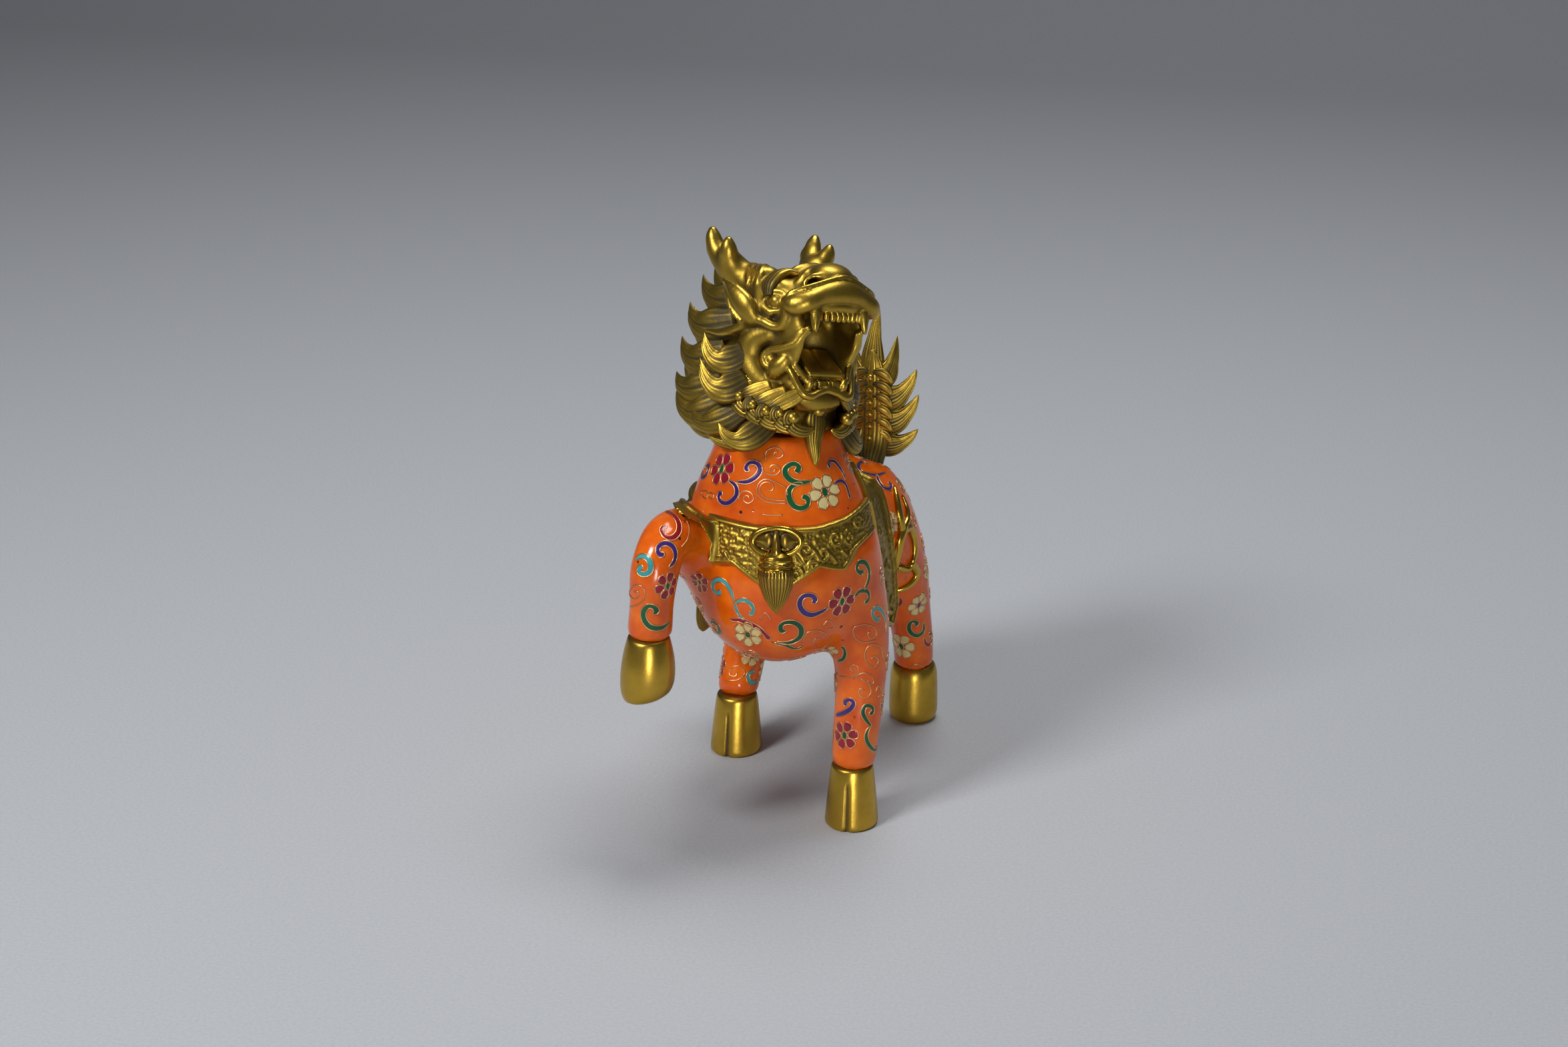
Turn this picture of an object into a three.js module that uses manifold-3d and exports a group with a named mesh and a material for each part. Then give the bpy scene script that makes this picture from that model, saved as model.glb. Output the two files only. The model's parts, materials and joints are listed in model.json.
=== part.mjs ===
// A cloisonne qilin: an enamelled copper body on four legs, one foreleg raised, with a cast brass
// dragon head, mane and beard, a fan tail, a chest collar with a tassel, a saddle cloth and four hooves.
// Millimetres, +Z up. The figure faces -Y, and its left side is +X.
import * as THREE from "three";
import { mergeVertices } from "three/addons/utils/BufferGeometryUtils.js";
import Module from "manifold-3d";

const wasm = await Module();
wasm.setup();

// Driving sizes, in millimetres. The pose and the carving are in shares of the figure's height.
const figureHeight = 200; // sole to horn tip, the size that scales pose and carving
const jointGap = 0.3; // clearance between two pieces that touch
const hoofHeight = 20.5; // cast hoof, sole to the enamel's edge
const hoofTopRadius = 7.1; // hoof where it meets the leg
const soleRadius = 8.9; // hoof at the ground, across
const soleLength = 9.6; // hoof at the ground, from the middle to the toe
const cleftWidth = 1.1; // slot in the front of a hoof
const cleftDepth = 1.6;
const toeLead = 1.2; // how far the sole lies in front of the hoof's top
const collarProud = 1.6; // how far the chest collar stands out of the chest
const clothProud = 1.8; // how far the saddle cloth stands out of the back
const flapThickness = 2.6; // hanging side of the saddle cloth
const flameProud = 1.5; // ribs on the haunch
const tasselRadius = 6.0; // tassel at its widest
const tasselLength = 21; // cap to tip
const loopWidth = 16; // oval loop over the tassel
const loopHeight = 10.5;
const loopWire = 1.3; // radius of the loop's rim
const headTurn = 50; // degrees that the head turns to the figure's left
const headRaise = 5; // degrees that the nose is lifted
const headTilt = 12; // degrees that the head leans to the figure's left

const unit = figureHeight / 200; // the stations below are written for a 200 mm figure
const mirror = [-1, 1];

const V = (x, y, z) => new THREE.Vector3(x, y, z);
const lerp = THREE.MathUtils.lerp;

// A smooth value between stations: each list entry belongs to the same index as the curve's point.
function along(values, t) {
  const s = t * (values.length - 1);
  const i = Math.min(Math.floor(s), values.length - 2);
  const k = s - i;
  const ease = k * k * (3 - 2 * k);
  return lerp(values[i], values[i + 1], ease);
}

// Closes a stack of rings with a pole at each end.
function skin(rings, startPole, endPole) {
  const n = rings[0].length;
  const points = [...rings.flat(), startPole, endPole];
  const start = rings.length * n;
  const faces = [];
  rings.slice(1).forEach((_, i) => {
    for (let j = 0; j < n; j++) {
      const k = (j + 1) % n;
      const [a, b, c, d] = [i * n + j, i * n + k, (i + 1) * n + k, (i + 1) * n + j];
      faces.push(a, b, c, a, c, d);
    }
  });
  for (let j = 0; j < n; j++) {
    const k = (j + 1) % n;
    const last = (rings.length - 1) * n;
    faces.push(start, k, j, start + 1, last + j, last + k);
  }
  const geometry = new THREE.BufferGeometry().setFromPoints(points);
  geometry.setIndex(faces);
  return geometry;
}

// A closed tube along a smooth curve. A station is [x, y, z, halfAcross, halfDeep]; across follows
// the given side direction. Both ends bulge by `round` times their half depth, to a dome or a point.
const domeAngle = 0.9; // where a dome has its one ring, in radians from its rim
function tube(stations, options = {}) {
  const { sides = 12, steps = 10, side = V(1, 0, 0), round = 0.7, dome = false, grow = 0 } = options;
  const places = stations.map(([x, y, z]) => V(x, y, z).multiplyScalar(unit));
  const curve = new THREE.CatmullRomCurve3(places, false, "centripetal");
  const across = stations.map((s) => s[3] * unit + grow);
  const deep = stations.map((s) => (s[4] ?? s[3]) * unit + grow);
  const ring = (t, shrink, shift) => {
    const centre = curve.getPoint(t);
    const tangent = curve.getTangent(t).normalize();
    const a = side.clone().addScaledVector(tangent, -side.dot(tangent)).normalize();
    const b = tangent.clone().cross(a);
    centre.addScaledVector(tangent, shift);
    return Array.from({ length: sides }, (_, j) => {
      const angle = (2 * Math.PI * j) / sides;
      return centre.clone()
        .addScaledVector(a, Math.cos(angle) * along(across, t) * shrink)
        .addScaledVector(b, Math.sin(angle) * along(deep, t) * shrink);
    });
  };
  const startCap = round * deep[0];
  const endCap = round * deep[deep.length - 1];
  const rings = [];
  if (dome) rings.push(ring(0, Math.cos(domeAngle), -startCap * Math.sin(domeAngle)));
  for (let i = 0; i <= steps; i++) rings.push(ring(i / steps, 1, 0));
  if (dome) rings.push(ring(1, Math.cos(domeAngle), endCap * Math.sin(domeAngle)));
  const startPole = curve.getPoint(0).addScaledVector(curve.getTangent(0), -startCap);
  const endPole = curve.getPoint(1).addScaledVector(curve.getTangent(1), endCap);
  return skin(rings, startPole, endPole);
}

// An ellipsoid at a place, with its three half sizes.
function egg([x, y, z], [a, b, c], { wide = 14, high = 9, grow = 0 } = {}) {
  const geometry = new THREE.SphereGeometry(1, wide, high);
  geometry.rotateX(Math.PI / 2);
  geometry.scale(a * unit + grow, b * unit + grow, c * unit + grow);
  return geometry.translate(x * unit, y * unit, z * unit);
}

// A flame lock: a flattened tube along root, bend and tip, pointed at its tip. Its half width lies
// along the given side direction.
function flame(root, bend, tip, width, thickness, side) {
  const sides = 4;
  const steps = 3;
  const places = [root, bend, tip].map((p) => V(...p).multiplyScalar(unit));
  const curve = new THREE.QuadraticBezierCurve3(...places);
  const rings = [];
  for (let i = 0; i < steps; i++) {
    const t = i / steps;
    const centre = curve.getPoint(t);
    const tangent = curve.getTangent(t);
    const a = side.clone().addScaledVector(tangent, -side.dot(tangent)).normalize();
    const b = tangent.clone().cross(a);
    const swell = (0.75 + 0.25 * Math.sin(Math.PI * Math.min(1, t * 1.6))) * (1 - t ** 2.2) ** 0.8;
    rings.push(Array.from({ length: sides }, (_, j) => {
      const angle = (2 * Math.PI * j) / sides;
      return centre.clone()
        .addScaledVector(a, Math.cos(angle) * width * unit * swell)
        .addScaledVector(b, Math.sin(angle) * thickness * unit * swell);
    }));
  }
  const startPole = curve.getPoint(0).addScaledVector(curve.getTangent(0), -0.4 * thickness * unit);
  return skin(rings, startPole, curve.getPoint(1));
}

// A closed three.js geometry as a solid for joining and cutting.
function solid(geometry) {
  const bare = geometry.index ? geometry.clone() : geometry;
  bare.deleteAttribute("normal");
  bare.deleteAttribute("uv");
  const merged = mergeVertices(bare, 1e-4);
  const index = [];
  for (let i = 0; i < merged.index.count; i += 3) {
    const [a, b, c] = [0, 1, 2].map((k) => merged.index.getX(i + k));
    if (a !== b && b !== c && a !== c) index.push(a, b, c);
  }
  const make = (list) => new wasm.Manifold(new wasm.Mesh({
    numProp: 3,
    vertProperties: new Float32Array(merged.attributes.position.array),
    triVerts: new Uint32Array(list),
  }));
  const made = make(index);
  return made.volume() > 0 ? made : make(index.reverse()); // faces point outwards
}

const join = (list) => list.reduce((sum, next) => sum.add(next));
const joinShapes = (list) => join(list.map(solid));

// The largest of a solid's separate bodies: cuts can leave slivers.
function mainBody(made) {
  return made.decompose().reduce((best, next) => (next.volume() > best.volume() ? next : best));
}

function piece(name, made, material) {
  const mesh = mainBody(made).getMesh();
  const n = mesh.numProp;
  const points = new Float32Array(mesh.numVert * 3);
  for (let i = 0; i < mesh.numVert; i++) {
    points.set(mesh.vertProperties.subarray(i * n, i * n + 3), i * 3);
  }
  const geometry = new THREE.BufferGeometry();
  geometry.setAttribute("position", new THREE.BufferAttribute(points, 3));
  geometry.setIndex(new THREE.BufferAttribute(mesh.triVerts, 1));
  geometry.computeVertexNormals();
  const result = new THREE.Mesh(geometry, material);
  result.name = name;
  return result;
}

// An outline extruded across the figure: plane "side" takes [y, z] points, plane "front" [x, z] points.
function slab(outline, plane, from, to) {
  const shape = new THREE.Shape(outline.map(([p, q]) => new THREE.Vector2(p * unit, q * unit)));
  const geometry = new THREE.ExtrudeGeometry(shape, { depth: (to - from) * unit, bevelEnabled: false });
  geometry.rotateX(Math.PI / 2); // outline upright, depth along -Y
  if (plane === "side") {
    geometry.rotateZ(Math.PI / 2); // outline along +Y, depth along +X
    return geometry.translate(from * unit, 0, 0);
  }
  return geometry.translate(0, to * unit, 0);
}

const enamel = new THREE.MeshStandardMaterial({ color: 0xd9541e, roughness: 0.18, metalness: 0 });
const castBrass = new THREE.MeshStandardMaterial({ color: 0xa8842c, roughness: 0.38, metalness: 1 });
const gilt = new THREE.MeshStandardMaterial({ color: 0xb8912f, roughness: 0.3, metalness: 1 });

// Torso stations: [x, y, z, half width, half height].
const torsoStations = [
  [4, -30, 82, 15, 15], [3.5, -27, 82, 21, 20.5], [2.5, -20, 81.5, 26, 25], [1, -8, 82, 28, 27],
  [0, 12, 82.5, 27.5, 23.5], [0, 32, 82, 26, 20.5], [0.5, 50, 81, 26, 21], [1.5, 64, 81, 24, 19],
  [2, 72, 81, 18, 14],
];
// Neck stations: [x, y, z, half width, half depth].
const neckStations = [
  [1, -7, 88, 28, 26], [0.5, -8, 100, 29, 26.5], [0, -7.5, 109, 27, 23.5], [0, -6, 118, 23, 21],
  [0, -5, 130.5, 19.4, 18],
];
const hoofTop = hoofHeight / unit; // leg stations are in figure units
// Leg stations: [x, y, z, half width, half depth], from inside the trunk down to the hoof.
const legs = {
  front_left: [[19, -8, 90, 14, 15], [25, -7, 74, 11, 13.5], [27.8, -7.5, 60, 9.3, 10.5],
    [28.3, -10, 46, 8.3, 8.6], [28, -13, 32, 7.9, 8], [27.3, -14.5, hoofTop, 7.2, 7.4]],
  front_right: [[-17, -8, 88, 12, 14], [-23, -22, 95, 10.5, 11.5], [-26.4, -36, 101.5, 9, 9],
    [-27.6, -45.5, 101, 7.8, 7.8], [-28.8, -49.3, 94, 7.8, 7.8], [-29.6, -50, 84, 7, 7.2],
    [-30.5, -50.5, 72, 7.3, 7.4]],
  hind_left: [[12, 56, 84, 14, 17], [20.5, 60, 72, 11, 16.5], [24.6, 66, 56, 9.4, 12],
    [26.6, 70, 42, 7.8, 8.6], [27.8, 72, 30, 7.2, 7.6], [28, 73.5, hoofTop, 7, 7.2]],
  hind_right: [[-14, 54, 84, 14, 17], [-21.5, 55, 70, 11.5, 15.5], [-24.5, 51, 54, 9.2, 11],
    [-24.6, 44, 40, 7.9, 8.4], [-25, 37.5, 29, 7.3, 7.5], [-25.5, 32.5, hoofTop, 7, 7.2]],
};

// Each shape can grow evenly on every side, for what lies on it or keeps clear of it.
const torsoShape = (grow) =>
  solid(tube(torsoStations, { sides: 18, steps: 10, grow, round: 0.55, dome: true }));
const neckShape = (grow) => solid(tube(neckStations, { sides: 18, steps: 4, grow, round: 0.08 }));
const legShape = (name, grow) => solid(tube(legs[name], { sides: 10, steps: 6, grow, round: 0.35 }));
const trunk = (grow) => join([torsoShape(grow), neckShape(grow)]);
const wholeBody = (grow) => join([trunk(grow), ...Object.keys(legs).map((name) => legShape(name, grow))]);

// A hoof: a flared cast shoe, cloven by a slot in its front. It stands on its flat sole.
function hoofShape() {
  const rise = [0, 0.07, 0.35, 1]; // heights of the rings, as shares of the hoof's
  const sides = 20;
  const soleEdge = 0.94; // the sole is a little smaller than the foot's widest line
  const rings = rise.map((t) => {
    const flare = (1 - t) ** 1.5;
    const edge = t === 0 ? soleEdge : 1;
    return Array.from({ length: sides }, (_, j) => {
      const angle = (2 * Math.PI * j) / sides;
      const wide = lerp(hoofTopRadius, soleRadius, flare) * edge;
      const long = lerp(hoofTopRadius, soleLength, flare) * edge;
      return V(Math.cos(angle) * wide, Math.sin(angle) * long - toeLead * flare, t * hoofHeight);
    });
  });
  const shell = solid(skin(rings, V(0, 0, 0), V(0, 0, hoofHeight)));
  const slot = new THREE.BoxGeometry(cleftWidth, 2 * cleftDepth, hoofHeight * 0.8);
  slot.rotateX(-0.12); // the front of the hoof leans back
  slot.translate(0, cleftDepth / 2 - soleLength - toeLead, hoofHeight * 0.32);
  return shell.subtract(solid(slot));
}

// Where each hoof is: standing under its leg, or along the raised one.
const hoofPlaces = {
  front_left: { at: [27, -15, 0], turn: [0, 0, 0.1] },
  hind_left: { at: [28, 74, 0], turn: [0, 0, 0.15] },
  hind_right: { at: [-25.7, 31, 0], turn: [0, 0, -0.05] },
  front_right: { at: [-31.2, -50.6, 53.5], turn: [0.12, -0.08, 0] },
};

function placedHoof(name) {
  const { at, turn } = hoofPlaces[name];
  const place = new THREE.Matrix4().makeRotationFromEuler(new THREE.Euler(...turn));
  place.setPosition(at[0] * unit, at[1] * unit, at[2] * unit);
  return hoofShape().transform(place.elements);
}

// Saddle cloth: its top follows the back and the base of the neck, and its two flaps hang clear of
// the belly, a little outwards. The outline is [y, z] from the side.
const clothOutline = [[-2, 107], [3, 88], [7, 72], [10, 60], [18, 56], [27, 60], [30, 72], [30, 88],
  [26, 101], [22, 116], [4, 116]];
const flapTop = [29.2, 90]; // outer face of a flap at its top: distance from the middle plane, and height
const flapFoot = [32.8, 55]; // and at its foot

const backLine = 80; // the cloth's close part ends at this height, inside the flaps

// The same outline with each corner moved out from the middle.
function widened(outline, by) {
  const middle = [0, 1].map((k) => outline.reduce((sum, point) => sum + point[k], 0) / outline.length);
  return outline.map(([p, q]) => {
    const reach = Math.hypot(p - middle[0], q - middle[1]);
    const share = 1 + by / reach;
    return [middle[0] + (p - middle[0]) * share, middle[1] + (q - middle[1]) * share];
  });
}

function saddleCloth(grow) {
  const room = [[-30, backLine], [60, backLine], [60, 130], [-30, 130]];
  const upper = trunk(clothProud + grow).intersect(solid(slab(room, "side", -50, 50)));
  const thick = flapThickness / unit;
  const flaps = mirror.map((s) => {
    const section = [[s * flapTop[0], flapTop[1]], [s * flapFoot[0], flapFoot[1]],
      [s * (flapFoot[0] - thick), flapFoot[1]], [s * (flapTop[0] - thick), flapTop[1]]];
    return solid(slab(widened(section, grow), "front", -10, 40));
  });
  const outline = widened(clothOutline, 2 * grow);
  return join([upper, ...flaps]).intersect(solid(slab(outline, "side", -50, 50)));
}

// Chest collar: a band round the front of the chest that drops to a point under the tassel.
const collarOutline = [[-34, 112], [-22, 107.5], [4, 105], [24, 107.5], [34, 111], [34, 101], [29, 98],
  [26.5, 93.5], [18, 93], [12, 89], [4, 86], [-5, 88.5], [-10, 92], [-19, 92.5], [-34, 93]];
const collarBack = -4; // the band ends here on both shoulders, before the saddle cloth

const collar = () => trunk(collarProud).intersect(solid(slab(collarOutline, "front", -60, collarBack)));

// Tassel: an oval loop with a plate in it, a cap, and a pointed bundle of cord.
const tasselAt = [6, -34.8, 101]; // middle of the loop
const tasselLean = -0.22; // the chest swells forward under the loop
function tassel() {
  const [x, y, z] = tasselAt.map((v) => v * unit);
  const wide = loopWidth / 2 - loopWire;
  const high = loopHeight / 2 - loopWire;
  const rim = new THREE.TorusGeometry(wide, loopWire, 5, 12).scale(1, high / wide, 1).rotateX(Math.PI / 2);
  const plate = new THREE.CylinderGeometry(wide, wide, 1.4 * loopWire, 12).scale(1, 1, high / wide);
  // Radius and height from the tip, as shares: the cords' point, their swell, the band and the cap.
  const profile = [[0, 0], [0.55, 0.24], [0.92, 0.5], [1, 0.66], [0.88, 0.7], [0.92, 0.78], [0.7, 0.89],
    [0.3, 0.96], [0.2, 1.12], [0, 1.14]];
  const hang = 1.2; // from the loop's middle to the tip, in tassel lengths
  const points = profile.map(([r, h]) => new THREE.Vector2(r * tasselRadius, (h - hang) * tasselLength));
  const bundle = new THREE.LatheGeometry(points, 9).rotateX(Math.PI / 2).scale(1, 0.8, 1);
  const lean = (g) => solid(g.rotateX(tasselLean).translate(x, y, z));
  return join([rim, plate, bundle].map(lean));
}

// Flame ribs on a haunch, following its surface: a trunk and its branches, each from its foot to its
// tip as [y, z] from the side.
const flameRibs = [
  [[45, 56], [41, 68], [36, 84], [33, 100]],
  [[38, 76], [43, 86], [44, 98]],
  [[40, 66], [49, 76], [54, 90]],
  [[43, 58], [53, 64], [59, 76]],
];
const ribHalf = 2.2; // half width of a rib at its foot
const ribSteps = 3;

function ribOutline(path) {
  const curve = new THREE.SplineCurve(path.map(([y, z]) => new THREE.Vector2(y, z)));
  const edge = (t, side) => {
    const middle = curve.getPoint(t);
    const run = curve.getTangent(t);
    const half = ribHalf * (1 - 0.75 * t * t);
    return [middle.x - side * run.y * half, middle.y + side * run.x * half];
  };
  const shares = Array.from({ length: ribSteps + 1 }, (_, i) => i / ribSteps);
  return [...shares.map((t) => edge(t, 1)), ...shares.reverse().map((t) => edge(t, -1))];
}

function haunchFlame(s) {
  const [inner, outer] = [14, 50]; // the prisms reach from inside the haunch to well outside it
  const walls = flameRibs.map((path) =>
    solid(slab(ribOutline(path), "side", s > 0 ? inner : -outer, s > 0 ? outer : -inner)));
  const shell = join([torsoShape(flameProud), legShape(s > 0 ? "hind_left" : "hind_right", flameProud)]);
  return shell.intersect(join(walls));
}

// Head, in its own frame: a point is P(side, forward, up), and side +1 is the figure's left.
const P = (side, forward, up) => [side, -forward, up];
const across = V(1, 0, 0);

// Skull, back of the neck, muzzle, nose, upper lip, lower jaw and chin.
function headMass() {
  return joinShapes([
    egg(P(0, -3, 9), [18.5, 19, 19.5], { wide: 10, high: 7 }),
    egg(P(0, -7, 0), [22, 20.5, 19], { wide: 10, high: 7 }),
    tube([[...P(0, 0, 22), 13, 8], [...P(0, 12, 25), 12, 6.5], [...P(0, 20, 27), 9.5, 5.5]],
      { sides: 8, steps: 2 }),
    egg(P(0, 18.6, 29.6), [9, 5.6, 5.2], { wide: 10, high: 5 }),
    tube([[...P(-16.5, 17.5, 20.8), 1.4, 1], [...P(-13, 22.6, 21.8), 3.2, 2.4],
      [...P(-8, 23.6, 24.2), 4.3, 2.7], [...P(0, 23.9, 26.2), 5.4, 3.1], [...P(8, 23.6, 24.2), 4.3, 2.7],
      [...P(13, 22.6, 21.8), 3.2, 2.4], [...P(16.5, 17.5, 20.8), 1.4, 1]],
      { sides: 6, steps: 8, side: V(0, 0, 1) }),
    tube([[...P(0, 2, -3), 15, 9], [...P(0, 14, -3.4), 13.5, 7], [...P(0, 21, -6.4), 10.5, 4.2]],
      { sides: 8, steps: 3 }),
    egg(P(0, 21, -7.6), [9, 4.6, 3.6], { wide: 8, high: 4 }),
  ]);
}

// The cheek wall beside the open mouth, and the roll of hair under the jaw.
const cheekWall = (s) => tube([[...P(11.8 * s, 14.5, 20), 4, 8], [...P(12.4 * s, 13.5, 12), 4.4, 11],
  [...P(13 * s, 10, 2), 4.6, 10], [...P(12 * s, 6, -6), 4.6, 9]], { sides: 6, steps: 3 });
const jawRoll = (s) => tube([[...P(19 * s, 2, -4), 4.5], [...P(19 * s, 11, -8), 4.2],
  [...P(14.6 * s, 17, -11), 3.6], [...P(7 * s, 19.5, -12), 3]], { sides: 5, steps: 3, side: V(s, 0, 0) });

// One side of the face: cheek, whisker ridge, brow, eye, forehead bump, mouth corner, lower lip, horn
// with its prong, ear, upper fang and lower fang.
function faceSide(s) {
  const smooth = { sides: 6, steps: 3, side: V(s, 0, 0) };
  return joinShapes([
    tube([[...P(16 * s, 13.5, 11), 4.6], [...P(17 * s, 9.5, 3), 5.4], [...P(15.5 * s, 12, -6), 4.6]],
      { ...smooth, sides: 7 }),
    tube([[...P(17 * s, 23, 13), 1.2], [...P(18.5 * s, 18.5, 14), 1.7], [...P(20.3 * s, 12.5, 14.6), 1.9],
      [...P(21.2 * s, 6, 11.8), 1.8], [...P(22.3 * s, -3, 8.8), 1.6], [...P(22.6 * s, -12, 7.6), 1]],
      { ...smooth, sides: 4, steps: 5 }),
    tube([[...P(15.8 * s, 13, 17.5), 1.8], [...P(15.2 * s, 10.5, 24), 2.7], [...P(12.5 * s, 9.5, 28.8), 2.7],
      [...P(8 * s, 13, 30.2), 1.8]], { ...smooth, sides: 5 }),
    egg(P(13.6 * s, 16, 23), [3, 3, 3], { wide: 6, high: 4 }),
    egg(P(11.8 * s, -2, 26.3), [4.2, 4.4, 3.8], { wide: 7, high: 4 }),
    tube([[...P(15 * s, 18, -0.5), 2.2], [...P(15.8 * s, 21.6, 2.8), 2.5], [...P(16 * s, 24.2, 7.6), 0.7]],
      { ...smooth, sides: 5, steps: 2 }),
    tube([[...P(14 * s, 21, 1), 1.2], [...P(12.4 * s, 24, -3), 1.2], [...P(9.5 * s, 24.6, -5.6), 1.2],
      [...P(0, 24, -4.6), 1.2]], { ...smooth, sides: 4 }),
    tube([[...P(11.5 * s, -6, 25), 4.4], [...P(14.5 * s, -12, 27.2), 4.6], [...P(18 * s, -16.8, 31), 3.7],
      [...P(19.6 * s, -19, 35.5), 2.4], [...P(20 * s, -19.6, 38.8), 1.5]], { ...smooth, steps: 5 }),
    tube([[...P(16.5 * s, -13, 28.5), 3.6], [...P(19 * s, -11, 33), 2.7], [...P(19.8 * s, -10.6, 36.6), 1.5]],
      { ...smooth, steps: 2 }),
    flame(P(19 * s, 4.5, 12.5), P(25 * s, 0, 17), P(22.2 * s, -6, 25.6), 4.1, 1.8, V(0, 0.8, 0.6)),
    tube([[...P(10.4 * s, 24.4, 20), 2.2], [...P(11 * s, 26.2, 15.5), 1.8], [...P(11 * s, 27.6, 11.6), 0.6]],
      { ...smooth, sides: 5, steps: 2 }),
    tube([[...P(8.6 * s, 22.6, -5), 1.6], [...P(8.8 * s, 23.8, -0.6), 0.6]],
      { ...smooth, sides: 4, steps: 1 }),
  ]);
}

// Mane locks of one side: [root, bend, tip, half width, half thickness].
const maneLocks = [
  [P(13, -4, 20), P(20, -19, 14), P(17, -26.5, 24.5), 6.4, 3.4],
  [P(16, -6, 12), P(24, -20, 5), P(21, -26, 15.5), 6.6, 3.4],
  [P(18, -6, 2), P(26, -18, -6), P(23, -25.5, 4.4), 6.6, 3.4],
  [P(18, -6, -6), P(27, -17, -16), P(24, -24.8, -7), 6.4, 3.4],
  [P(17, -2, -12), P(27, -12, -24), P(25.5, -21.5, -13), 6.4, 3.4],
  [P(19, 5, 4), P(29, 0, -5), P(29, -4.5, 8.4), 5, 2.8],
  [P(19, 7, -4), P(30, 4, -14), P(30.5, -3, 0.4), 5.2, 2.8],
  [P(19, 8, -13), P(28, -2, -24), P(27.5, -8.5, -17), 5.2, 3],
  [P(13, 15, -15), P(25, 14, -29), P(28, 8, -18.5), 4.8, 2.8],
  [P(8, 10, -15), P(20, 4, -30), P(25, -3, -22), 4.8, 2.8],
  [P(7, -10, 20), P(10, -25, 16), P(9, -32, 27), 6.4, 3.8],
  [P(9, -14, 7), P(14, -29, 0), P(13, -35, 13), 6.8, 4],
  [P(9, -14, -6), P(15, -29, -15), P(14.5, -34, -2), 6.8, 4],
  [P(9, -9, -15), P(16, -23, -29), P(16, -30, -16), 6.6, 4],
];
// Locks down the middle of the back of the head.
const crestLocks = [
  [P(0, -12, 22), P(0, -27, 20), P(0, -33, 32), 5.2, 3.8],
  [P(0, -16, 9), P(0, -33, 5), P(0, -39, 18), 6, 4],
  [P(0, -17, -4), P(0, -34, -11), P(0, -39.5, 2), 6, 4],
];
// Rolled curls along the jaw, back to front.
const jawCurls = [P(22, 7, -6.5), P(21.5, 11.5, -9), P(19.5, 15, -10.6), P(16.4, 18, -12),
  P(12, 20.4, -13.4)];
const curlRadius = 2.7;

function mane() {
  const locks = mirror.flatMap((s) => maneLocks.map(([root, bend, tip, wide, thick]) => {
    const put = ([x, y, z]) => [s * x, y, z];
    return flame(put(root), put(bend), put(tip), wide, thick, V(0, 0.25, 1));
  }));
  const crest = crestLocks.map(([root, bend, tip, wide, thick]) =>
    flame(root, bend, tip, thick, wide, across));
  const curls = mirror.flatMap((s) => jawCurls.map(([x, y, z]) =>
    egg([s * x, y, z], [curlRadius, curlRadius, curlRadius], { wide: 5, high: 3 })));
  return joinShapes([...locks, ...crest, ...curls]);
}

const beard = () => tube([[...P(0, 18.5, -10), 2.8, 2.4], [...P(0, 20, -15.5), 3.7, 2.6],
  [...P(-0.4, 21, -21), 2.7, 2.2], [...P(0, 22.8, -27.6), 0.9, 0.9]], { sides: 8, steps: 4 });

// The open mouth: its hollow, the tongue in it, and the row of upper teeth.
const mouthHollow = () => egg(P(0, 22, 9), [11.8, 15, 10], { wide: 14, high: 8 });
const tongue = () => tube([[...P(0, 10, 4), 8, 3], [...P(0, 17, 2.6), 8.4, 2.4],
  [...P(0, 22.4, -1.6), 7, 1.6]], { sides: 6, steps: 2 });
const toothCount = 6;
const toothPitch = 2.9;
const upperTeeth = () => Array.from({ length: toothCount }, (_, i) => {
  const x = (i - (toothCount - 1) / 2) * toothPitch;
  const forward = 24.6 - 0.02 * x * x; // the row is a shallow arc
  return tube([[...P(x, forward, 20), 1.2], [...P(x, forward + 0.6, 14.4), 1]],
    { sides: 4, steps: 1, round: 0.5 });
});

function headLocal() {
  const sides = joinShapes(mirror.flatMap((s) => [cheekWall(s), jawRoll(s)]));
  const bulk = headMass().add(sides).subtract(solid(mouthHollow()));
  return join([bulk, ...mirror.map(faceSide), mane(), joinShapes([tongue(), beard(), ...upperTeeth()])]);
}

const headPlace = new THREE.Matrix4().makeTranslation(0, 0, 150 * unit)
  .multiply(new THREE.Matrix4().makeRotationZ(THREE.MathUtils.degToRad(headTurn)))
  .multiply(new THREE.Matrix4().makeRotationX(THREE.MathUtils.degToRad(-headRaise)))
  .multiply(new THREE.Matrix4().makeRotationY(THREE.MathUtils.degToRad(headTilt)));

// Tail: a flat fan of flames, upright on the rump, with a column of curls up its middle.
// Locks of one side: [root, bend, tip, half width], as [x, z] from the foot of the fan.
const tailFoot = [12, 73, 98];
const tailLocks = [
  [[1, 5], [9, 0], [15.6, 8.6], 5],
  [[1, 12], [10.5, 8.5], [15.6, 21], 5.4],
  [[1, 20], [10, 17], [14.8, 30], 5.4],
  [[1, 27], [6.5, 26], [7.8, 41.5], 4.8],
];
const tailCurls = 6;
const curlPitch = 4.3;

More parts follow.
